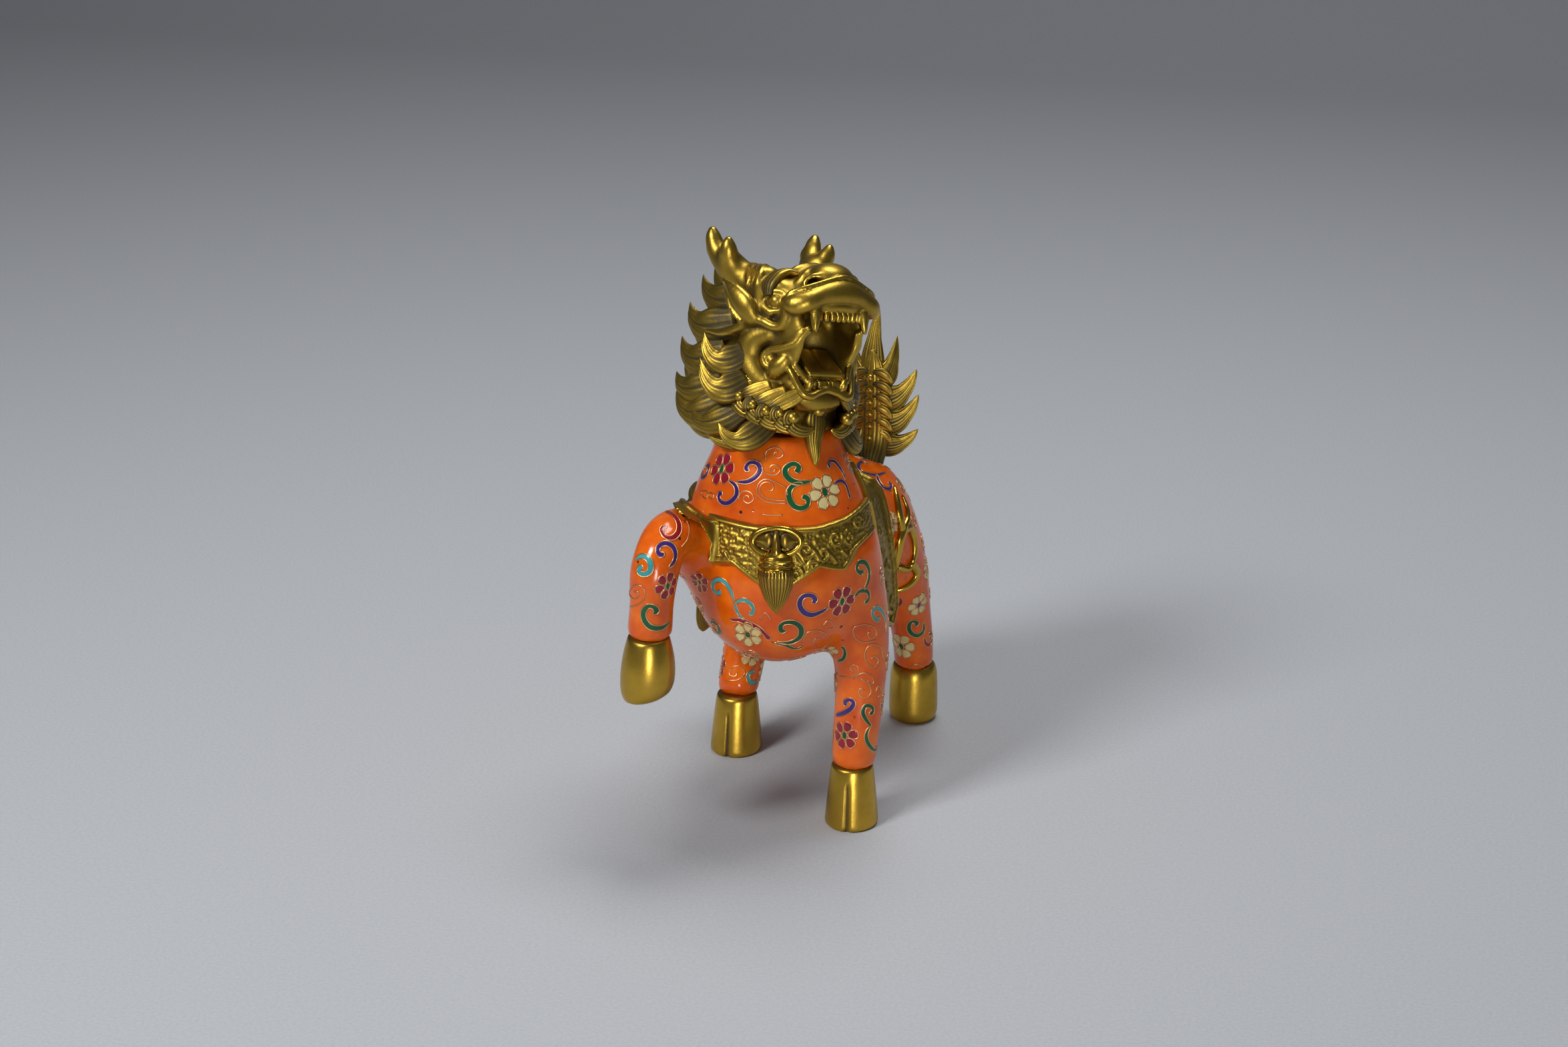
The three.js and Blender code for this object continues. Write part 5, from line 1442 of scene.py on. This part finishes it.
# A filled scroll: a ribbon on the skin whose half width swells along it and ends in a round head, with
# a wire round its edge.
def layRibbon(points, colour, width):
    r = ribbonSettings
    points = evenly(points, inlaySettings["pitch"])
    points = settle(bodyField, points)
    t = np.linspace(0, 1, len(points))
    swell = r["foot"] + r["swell"] * np.sin(np.pi * t**0.75 * r["headAt"])
    half = width * (swell + r["head"] * np.exp(-(((t - r["headAt"]) / r["headBroad"]) ** 2)))
    foot = (t / r["footEnd"]).clip(0, 1)  # rounded in at both ends
    head = ((t - r["headFrom"]) / r["headEnd"]).clip(0, 1)
    half = half * np.sqrt(1 - (1 - foot) ** 2).clip(r["least"]) * np.sqrt(1 - head**2).clip(r["least"])
    _, across = skinFrame(points)
    rings = points[:, None] + across[:, None] * (r["across"] * half[:, None])[..., None]
    rings = settle(bodyField, rings, r["proud"] * inlaySettings["fillProud"], 2)
    fills[colour].append(ringSkin(rings))
    edge = np.vstack([points + across * half[:, None], (points - across * half[:, None])[::-1]])
    layWire(edge, closed=True)


# A filled patch: rings from its outline in to its middle, tucked under the skin at the rim.
def layPatch(outline, middle, colour):
    s = patchSettings
    outline = settle(bodyField, outline)
    middle = settle(bodyField, middle[None])
    rings = middle + (outline - middle) * np.array(s["reach"])[:, None, None]
    proud = np.array(s["proud"])[:, None] * inlaySettings["fillProud"]
    rings = settle(bodyField, rings, np.broadcast_to(proud, rings.shape[:2]), 2)
    under = settle(bodyField, middle, s["under"])[0]
    over = settle(bodyField, middle, inlaySettings["fillProud"])[0]
    fills[colour].append(ringSkin(rings, under, over))
    layWire(outline, closed=True)


# A flower's measures as shares of its radius: the petal's middle, half length and half width, and the
# heart's half width and half height. The notch is how deep the petal's end is dented.
flowerSettings = {"petals": 6, "middle": 0.63, "long": 0.37, "wide": 0.31, "notch": 0.13, "notchWide": 0.35,
                  "broader": 0.22, "heart": (0.2, 0.27), "points": 24}


# A flower: petals round an oval centre. A petal is an ellipse, broader outside, with a shallow notch.
def layFlower(centre, radius, colour, heart="green", turn=0.0, upwards=(0.0, 0.0, 1.0)):
    s = flowerSettings
    upwards = np.array(upwards)
    phi = roundAngles(s["points"])[0]
    notch = s["notch"] * np.exp(-((np.angle(np.exp(1j * phi)) / s["notchWide"]) ** 2))
    out = s["middle"] * radius + s["long"] * radius * np.cos(phi) * (1 - notch)
    wide = s["wide"] * radius * np.sin(phi) * (1 + s["broader"] * np.cos(phi))
    for k in range(s["petals"]):
        a = turn + 2 * np.pi * k / s["petals"]
        flat = np.stack([out * np.cos(a) - wide * np.sin(a), out * np.sin(a) + wide * np.cos(a)], 1)
        middle = s["middle"] * radius * np.array([[np.cos(a), np.sin(a)]])
        placed = wrapOnBody(centre, upwards, np.vstack([flat, middle]))
        layPatch(placed[:-1], placed[-1], colour)
    core = radius * np.stack([s["heart"][0] * np.cos(phi), s["heart"][1] * np.sin(phi)], 1)
    layPatch(wrapOnBody(centre, upwards, core), centre, heart)


# What the picture shows, in drawn pixels, a line as x, y, x, y and so on: filled scrolls as (colour, half
# width in mm, line).
seenScrolls = [
    ("purple", 0.85, [590, 238, 640, 236, 680, 210, 694, 180, 680, 157, 655, 152, 636, 164, 634, 182,
        648, 188]),
    ("purple", 0.85, [556, 232, 583, 250, 593, 280, 580, 310, 550, 330, 525, 325, 513, 305, 518, 288,
        532, 290]),
    ("green", 0.95, [915, 234, 870, 241, 835, 233, 808, 210, 803, 185, 820, 165, 845, 158, 862, 170, 858, 187,
        842, 190]),
    ("green", 0.95, [880, 243, 840, 252, 820, 278, 823, 315, 845, 345, 875, 352, 900, 338, 903, 315, 890, 303,
        875, 312]),
    ("purple", 0.6, [1066, 232, 1055, 200, 1036, 170, 1015, 147, 997, 145, 991, 160, 1000, 178]),
    ("purple", 0.65, [1012, 246, 1045, 232, 1064, 246, 1075, 275, 1086, 312]),
    ("purple", 0.75, [1240, 196, 1205, 207, 1165, 203, 1130, 188, 1120, 166, 1136, 150, 1160, 160]),
    ("purple", 0.75, [1200, 206, 1210, 235, 1232, 262, 1256, 268, 1264, 250, 1248, 240]),
    ("crimson", 0.9, [1160, 122, 1200, 150, 1245, 172, 1292, 192]),
    ("crimson", 0.95, [284, 364, 318, 384, 340, 420, 338, 455, 315, 480, 285, 478, 268, 455, 272, 436,
        290, 430]),
    ("purple", 0.9, [296, 612, 320, 582, 325, 545, 310, 515, 280, 505, 255, 516, 248, 540, 262, 555,
        278, 545]),
    ("turquoise", 0.95, [150, 577, 175, 560, 205, 570, 218, 600, 210, 630, 185, 640, 165, 629, 170, 611,
        186, 609]),
    ("green", 0.95, [302, 848, 262, 872, 217, 868, 189, 836, 186, 801, 205, 779, 231, 781, 243, 800,
        226, 811]),
    ("turquoise", 0.8, [580, 752, 562, 705, 537, 672, 510, 662, 488, 678, 493, 710, 514, 722, 522, 706]),
    ("turquoise", 0.7, [582, 772, 596, 757, 625, 752, 650, 765, 664, 790, 657, 812, 643, 803]),
    ("turquoise", 0.55, [580, 750, 588, 785, 604, 818, 626, 836]),
    ("crimson", 0.9, [562, 838, 600, 838, 650, 855, 700, 885, 738, 925]),
    ("green", 0.95, [764, 933, 800, 938, 840, 931, 869, 906, 870, 872, 846, 851, 806, 849, 782, 864, 788, 885,
        808, 884]),
    ("green", 0.6, [752, 940, 800, 946, 846, 962, 880, 955]),
    ("purple", 0.95, [990, 784, 960, 801, 920, 815, 886, 805, 866, 776, 870, 746, 895, 730, 925, 735,
        932, 754, 916, 761]),
    ("green", 0.85, [1146, 706, 1164, 665, 1166, 617, 1146, 586, 1121, 590, 1114, 619, 1132, 632, 1146, 622]),
    ("green", 0.75, [1098, 742, 1128, 712, 1158, 712, 1166, 742, 1146, 768]),
    ("turquoise", 0.75, [1240, 892, 1238, 840, 1224, 801, 1201, 785, 1183, 796, 1186, 825, 1205, 838,
        1213, 823]),
    ("green", 0.7, [1030, 1016, 1055, 1006, 1063, 976, 1049, 950]),
    ("purple", 0.85, [1022, 1252, 1060, 1241, 1090, 1221, 1099, 1196, 1080, 1185, 1062, 1196, 1069, 1214]),
    ("green", 0.75, [1178, 1302, 1151, 1266, 1140, 1235, 1156, 1210, 1180, 1216, 1183, 1239, 1166, 1246]),
    ("green", 0.75, [1172, 1300, 1155, 1336, 1161, 1371, 1190, 1402, 1211, 1386]),
    ("turquoise", 0.75, [684, 1104, 660, 1112, 642, 1095, 645, 1070, 668, 1060]),
    ("green", 0.7, [684, 1040, 672, 1010, 676, 985]),
    ("green", 0.85, [1405, 846, 1402, 888, 1376, 905, 1347, 891, 1341, 861, 1355, 843, 1375, 850, 1369, 868]),
]
# Flowers as (colour, heart, radius in mm, turn in degrees, centre).
seenFlowers = [
    ("crimson", "green", 5.5, 20, (526, 181)), ("cream", "green", 5.8, 5, (976, 281)),
    ("crimson", "green", 4.6, 10, (292, 690)), ("cream", "green", 4.9, 25, (640, 902)),
    ("crimson", "green", 5.3, 0, (1050, 757)), ("crimson", "green", 4.9, 15, (1060, 1340)),
    ("cream", "green", 5.2, 0, (1307, 952)), ("cream", "purple", 4.6, 10, (1384, 772)),
    ("cream", "green", 4.0, 0, (246, 352)),
]
# Plain wire scrolls.
seenWires = [
    [716, 140, 719, 106, 750, 88, 784, 97, 794, 120, 776, 133, 755, 126, 755, 110, 770, 106],
    [698, 172, 716, 199, 760, 206, 781, 186, 766, 164, 741, 167, 737, 185, 755, 191, 762, 180],
    [806, 318, 760, 316, 716, 305, 692, 278, 697, 250, 720, 238, 746, 247, 752, 266, 738, 277, 724, 268],
    [808, 330, 758, 330, 706, 318, 680, 284, 686, 246, 715, 226, 757, 236, 784, 250, 806, 262, 812, 296],
    [600, 316, 605, 290, 630, 277, 657, 289, 664, 313, 642, 331, 621, 318, 625, 300, 642, 299, 646, 312],
    [436, 304, 440, 280, 460, 277, 467, 297, 455, 310, 444, 298],
    [467, 300, 478, 284, 492, 296, 484, 311, 472, 304],
    [150, 515, 186, 512, 212, 482, 210, 440, 188, 419, 163, 430, 155, 458, 172, 477, 189, 466, 184, 448,
        172, 450],
    [110, 782, 150, 776, 185, 750, 191, 710, 166, 685, 136, 694, 125, 724, 144, 746, 165, 733, 160, 712,
        146, 716],
    [106, 884, 140, 880, 161, 850, 155, 810, 130, 790, 110, 805, 107, 836, 126, 850, 141, 834, 133, 816],
    [378, 660, 362, 605, 370, 550, 403, 524, 434, 548, 430, 598, 404, 610, 394, 584, 410, 570],
    [352, 520, 376, 488, 384, 440, 372, 405, 356, 412],
    [692, 838, 716, 806, 742, 838],
    [966, 862, 990, 838, 1012, 868, 990, 878],
    [876, 934, 898, 893, 948, 884, 986, 908, 980, 946, 944, 958, 922, 938, 936, 916, 958, 924],
    [1194, 926, 1140, 934, 1102, 910, 1100, 872, 1142, 857, 1186, 868, 1199, 902, 1178, 916, 1160, 900,
        1170, 886],
    [1226, 1004, 1216, 955, 1178, 944, 1149, 975, 1155, 1020, 1187, 1042, 1207, 1017, 1192, 994, 1176, 1006],
    [1040, 1082, 1080, 1088, 1117, 1070, 1116, 1038, 1092, 1034, 1086, 1056, 1100, 1060],
    [1100, 1092, 1140, 1068, 1176, 1080, 1186, 1112, 1166, 1116, 1162, 1100],
    [1130, 1092, 1168, 1120, 1174, 1158, 1150, 1176, 1122, 1160, 1128, 1136, 1144, 1142],
    [1196, 1150, 1208, 1124, 1220, 1148, 1206, 1172],
    [544, 1102, 600, 1096, 627, 1066, 600, 1038, 566, 1048, 560, 1076, 586, 1082, 594, 1066],
    [1338, 1082, 1344, 1050, 1370, 1030, 1400, 1040, 1408, 1075, 1384, 1100, 1358, 1086, 1368, 1062,
        1384, 1070],
    [1090, 130, 1060, 100, 1075, 92],
    [700, 378, 740, 384, 790, 380],
]
motifPoints = []
motifSettings = {"steps": 70, "leastPoints": 8, "longestStep": 3.0, "markAt": 0.8, "markPoints": 12}


# A drawn line on the body, or None where it misses the body or jumps to another leg.
def drawnLine(pixels):
    s = motifSettings
    stations = np.pad(np.reshape(pixels, (-1, 2)), ((0, 0), (0, 1)))
    points, met = seenOnBody(smoothPath(stations, s["steps"])[:, :2])
    points = points[met]
    near = lengths(np.diff(points, axis=0)) < s["longestStep"]
    return points if len(points) > s["leastPoints"] and near.all() else None


def flatCircle(radius, angles):
    return radius * np.stack([np.cos(angles), np.sin(angles)], 1)


for colour, width, pixels in seenScrolls + [(None, None, pixels) for pixels in seenWires]:
    line = drawnLine(pixels)
    if line is None:
        continue
    motifPoints.append(line)
    if colour:
        layRibbon(line, colour, width)
    else:
        layWire(line)
for colour, heart, radius, turn, pixel in seenFlowers:
    centre, met = seenOnBody([pixel])
    if met[0]:
        layFlower(centre[0], radius, colour, heart, np.radians(turn))
        around = np.arange(motifSettings["markPoints"]) * 2 * np.pi / motifSettings["markPoints"]
        rim = flatCircle(motifSettings["markAt"] * radius, around)
        motifPoints.append(wrapOnBody(centre[0], np.array([0, 0, 1.0]), rim))

# The sides that the picture doesn't show carry the same flowers, scrolls and wire curls, no two closer
# than `gap`, none within `toSeen` of a seen one and none under a plate, a rib, the mane or a hoof. A
# motif whose rim would stretch across a crease or to another leg is left out.
seenWireCount = len(wires)
hiddenSettings = {"gap": 8.6, "seed": 11, "pool": 9000, "clear": 6.0, "toSeen": 5.2, "toRib": 4.5, "toTail": 9,
                  "neckTop": 122, "hoofTop": 26.5, "raisedHoof": (-42, 80.5), "rim": 4.4, "rimReach": 5.2,
                  "rimStep": 2.2, "ribFrom": 10, "ribTo": 50, "behindCollar": 4, "flower": (3.7, 4.4),
                  "scroll": (2.9, 0.95, 1.6), "scrollWidth": 0.8,
                  "curls": ((3.2, 1.45, 1.5), (2.3, 1.2, 0.4))}
hiddenColours = ["purple", "green", "turquoise", "crimson", "green", "purple"]
inlaySettings["pitch"] = 0.72  # coarser wires where the picture doesn't show them


def bareOfPlates(points):
    s = hiddenSettings
    x, y, z = points.T
    cloth = outlineDistance(np.stack([y, z], 1), clothSettings["outline"]) > s["clear"]
    collar = outlineDistance(np.stack([x, z], 1), collarSettings["outline"]) > s["clear"]
    bare = cloth & (collar | (y > collarSettings["back"] + s["behindCollar"])) & (z < s["neckTop"])
    for path, _ in flameRibs:
        toRib = lineDistance(np.stack([y, z], 1), np.array(path, float))
        bare &= (toRib > s["toRib"]) | (np.abs(x) < s["ribFrom"]) | (np.abs(x) > s["ribTo"])
    raisedY, raisedZ = s["raisedHoof"]
    bare &= (z > s["hoofTop"]) & ((y > raisedY) | (z > raisedZ))
    return bare & (lengths(points - tailFoot) > s["toTail"])


# Places for the hidden motifs: points of the skin in a drawn order, each kept if it is clear of all
# that are there already.
def spreadPlaces(taken):
    s = hiddenSettings
    pool = bodySkin[0][np.random.default_rng(s["seed"]).permutation(len(bodySkin[0]))[:s["pool"]]]
    pool = pool[bareOfPlates(pool)]
    pool = pool[np.array([lengths(taken - p).min() for p in pool]) > s["toSeen"]]
    chosen = []
    while len(pool):
        chosen.append(pool[0])
        pool = pool[lengths(pool - pool[0]) > s["gap"]]
    return np.array(chosen)


# Flat scrolls for the hidden sides: a curl whose radius falls as 1 - 0.62 t, with a straight foot.
def flatCurl(start, hand, radius, turns, foot, count=40):
    t = np.linspace(0, 1, count)
    line = (1 - 0.62 * t)[:, None] * flatCircle(radius, np.radians(start) + 2 * np.pi * turns * hand * t)
    first = line[0] + (line[0] - line[1]) / np.linalg.norm(line[0] - line[1]) * foot
    return np.vstack([first, line])


def layHidden(k, place):
    s = hiddenSettings
    centre = settle(bodyField, place[None])[0]
    level = abs(outward(bodyField, centre[None])[0, 2]) < 0.8
    upwards = np.array([0, 0, 1.0] if level else [0, 1.0, 0])
    turn = rng.uniform(0, 360)
    rim = wrapOnBody(centre, upwards, flatCircle(s["rim"], np.linspace(0, 2 * np.pi, 25)))
    steps = lengths(np.diff(rim, axis=0))
    if lengths(rim - centre).max() > s["rimReach"] or steps.max() > s["rimStep"]:
        return
    if k % 4 == 0:
        radius, colour = rng.uniform(*s["flower"]), ("crimson", "cream")[(k // 4) % 2]
        layFlower(centre, radius, colour, "green", np.radians(turn), upwards)
        return
    hand = rng.choice([-1, 1])
    if k % 4 == 2:
        for curl in s["curls"]:
            layWire(wrapOnBody(centre, upwards, flatCurl(turn, hand, *curl)))
    else:
        line = wrapOnBody(centre, upwards, flatCurl(turn, hand, *s["scroll"]))
        layRibbon(line, hiddenColours[(k // 2) % 6], s["scrollWidth"])


hiddenPlaces = spreadPlaces(np.vstack(motifPoints))
for k, place in enumerate(hiddenPlaces):
    layHidden(k, place)
print("hidden motifs", len(hiddenPlaces))
for name, parts in fills.items():
    addPiece(name + "_inlay", joinParts(parts), inlayEnamel[name], "enamel", "body")
addPiece("inlay_wires_front", joinParts(wires[:seenWireCount]), wireGilt, "gilt_brass", "body")
addPiece("inlay_wires_rest", joinParts(wires[seenWireCount:]), wireGilt, "gilt_brass", "body")

print("hooves")
hoofSettings = {"stretch": 1.08, "lead": 1.2, "cleftWide": 0.3, "cleftSpread": 0.45, "cleftAt": -0.5,
                "rows": 44, "sides": 80}
# What differs from hoof to hoof: half widths at the top and the sole, the wall's bulge, the share of
# the height that is rounded at the foot and at the shoulder and how far in it goes, the cleft's depth
# and the sole's slant.
hoofForms = {
    "front_left": {"top": 6.75, "sole": 8.9, "bulge": 0.0, "foot": (0.08, 0.08), "shoulder": (0.06, 0.04),
                   "cleft": 0.75, "slant": 0},
    "hind_left": {"top": 8.0, "sole": 8.6, "bulge": 0.02, "foot": (0.22, 0.18), "shoulder": (0.22, 0.17),
                  "cleft": 0, "slant": 0},
    "hind_right": {"top": 6.9, "sole": 9.0, "bulge": 0.0, "foot": (0.1, 0.09), "shoulder": (0.08, 0.05),
                   "cleft": 0.75, "slant": 0},
    "front_right": {"top": 6.5, "sole": 8.1, "bulge": 0.15, "foot": (0.22, 0.2), "shoulder": (0.08, 0.05),
                    "cleft": 0, "slant": 0.24},
}


# A quarter round that goes in by a share at t = 0 and is done at t = reach.
def roundedIn(t, reach, share):
    return 1 - share + share * np.sqrt(1 - (1 - (t / reach).clip(0, 1)) ** 2)


# A hoof: rings that widen towards the sole with the 0.8th power of the way down and bulge as a sine,
# rounded in at the sole's edge and over the shoulder at the top, with a groove down the front of some
# that widens to the sole.
def hoofSurface(name):
    s, form = hoofSettings, hoofForms[name]
    t = np.linspace(0, 1, s["rows"])[:, None] ** 0.9
    angle = roundAngles(s["sides"])
    flare = (1 - t) ** 0.8
    rounded = roundedIn(t, *form["foot"]) * roundedIn(1 - t, *form["shoulder"])
    edge = rounded * (1 + form["bulge"] * np.sin(np.pi * t))
    wide, long = (form["top"] + (k * form["sole"] - form["top"]) * flare for k in (1, s["stretch"]))
    x = np.cos(angle) * wide * edge
    y = np.sin(angle) * long * edge - s["lead"] * flare
    front = ease(-np.sin(angle), 0.55, 0.8)
    spread = s["cleftWide"] + s["cleftSpread"] * (1 - t)
    cleft = np.exp(-(((x - s["cleftAt"]) / spread) ** 2)) * front * (1 - ease(t, 0.68, 0.84))
    cleft = cleft * (form["cleft"] > 0)
    y = y + form["cleft"] * cleft
    z = t * hoofHeight + form["slant"] * x * (1 - t)
    place, turn = hoofPlaces[name]
    rings = np.stack([x, y, z], -1) @ turned(turn).T + place
    # Painted shade: darker in the cleft and along the top edge under the enamel.
    return markedSkin(rings, np.broadcast_to(0.4 * cleft + 0.25 * ease(t, 0.965, 1) - 0.16, x.shape))


for name in hoofPlaces:
    addPiece("hoof_casting_" + name, hoofSurface(name), hoofBrass, "gilt_brass", "hoof_" + name)

print("stage")


# The camera looks from the azimuth and elevation at the aim point; its lens is the picture's pixels
# per millimetre at that distance, as a share of the picture's width on the sensor.
def makeCamera():
    s = stageSettings
    place, _, _, back = cameraAxes(s)
    data = bpy.data.cameras.new("camera")
    data.sensor_width = s["sensor"]
    data.lens = s["sensor"] * s["pixelsPerMm"] * s["distance"] / s["imageWidth"]
    data.clip_start, data.clip_end = 0.05, 20
    camera = addObject("camera", data)
    camera.location = onFrame(place)
    camera.rotation_euler = Vector(-back).to_track_quat("-Z", "Y").to_euler()
    bpy.context.scene.camera = camera


# Softboxes: place in metres, aim, sides and watts.
lights = {
    "keySoftbox": ((-0.5, -0.8, 0.95), (0, 0, 0.1), (0.32, 0.32), 10),
    "fillSoftbox": ((0.42, -1.15, 0.16), (0, 0, 0.1), (0.16, 0.3), 3.5),
    "topSoftbox": ((0.1, 0.3, 1.15), (0, 0, 0.1), (0.6, 0.4), 8),
}


def makeLight(name, place, aim, size, power):
    data = bpy.data.lights.new(name, "AREA")
    data.shape = "RECTANGLE"
    data.size, data.size_y = size
    data.energy = power
    light = addObject(name, data)
    light.location = place
    light.rotation_euler = (Vector(aim) - Vector(place)).to_track_quat("-Z", "Y").to_euler()


floorSettings = {"front": -3, "bendAt": 1.2, "bend": 0.8, "top": 3.5, "half": 4.0}  # in metres


# A plain floor that bends up into a wall behind: a quarter circle joins the two flats.
def makeFloor():
    s = floorSettings
    material, tree, shader = newMaterial("palePaper")
    place = node(tree, "TexCoord")
    grain = node(tree, "TexNoise", Vector=(place, "Object"), Scale=900.0, Detail=2.0)
    tone = node(tree, "ValToRGB", stops=[(0.3, "#A9ACB0"), (0.7, "#B2B4B8")], in0=(grain, "Fac"))
    setSockets(tree, shader, {"Base_Color": (tone, "Color"), "Roughness": 0.85})
    bend = np.linspace(0, np.pi / 2, 24)
    y = np.concatenate([[s["front"]], s["bendAt"] + s["bend"] * np.sin(bend), [s["bendAt"] + s["bend"]]])
    z = np.concatenate([[0], s["bend"] - s["bend"] * np.cos(bend), [s["top"]]])
    x = np.array([-s["half"], s["half"]])
    grid = np.stack(np.broadcast_arrays(x[None], y[:, None], z[:, None]), -1)
    i = np.arange(len(y) - 1)
    faces = np.stack([2 * i, 2 * i + 1, 2 * i + 3, 2 * i + 2], 1)
    mesh = bpy.data.meshes.new("paperSweep")
    mesh.from_pydata(grid.reshape(-1, 3).tolist(), [], faces.tolist())
    mesh.polygons.foreach_set("use_smooth", np.ones(len(faces), bool))
    mesh.materials.append(material)
    addObject("paperSweep", mesh)


makeCamera()
makeFloor()
for name, row in lights.items():
    makeLight(name, *row)
bpy.context.scene.view_settings.view_transform = "Standard"
world = bpy.data.worlds.new("studio")
world.use_nodes = True
setSockets(world.node_tree, world.node_tree.nodes["Background"], {"Color": linear("#8E9299"), "Strength": 0.35})
bpy.context.scene.world = world
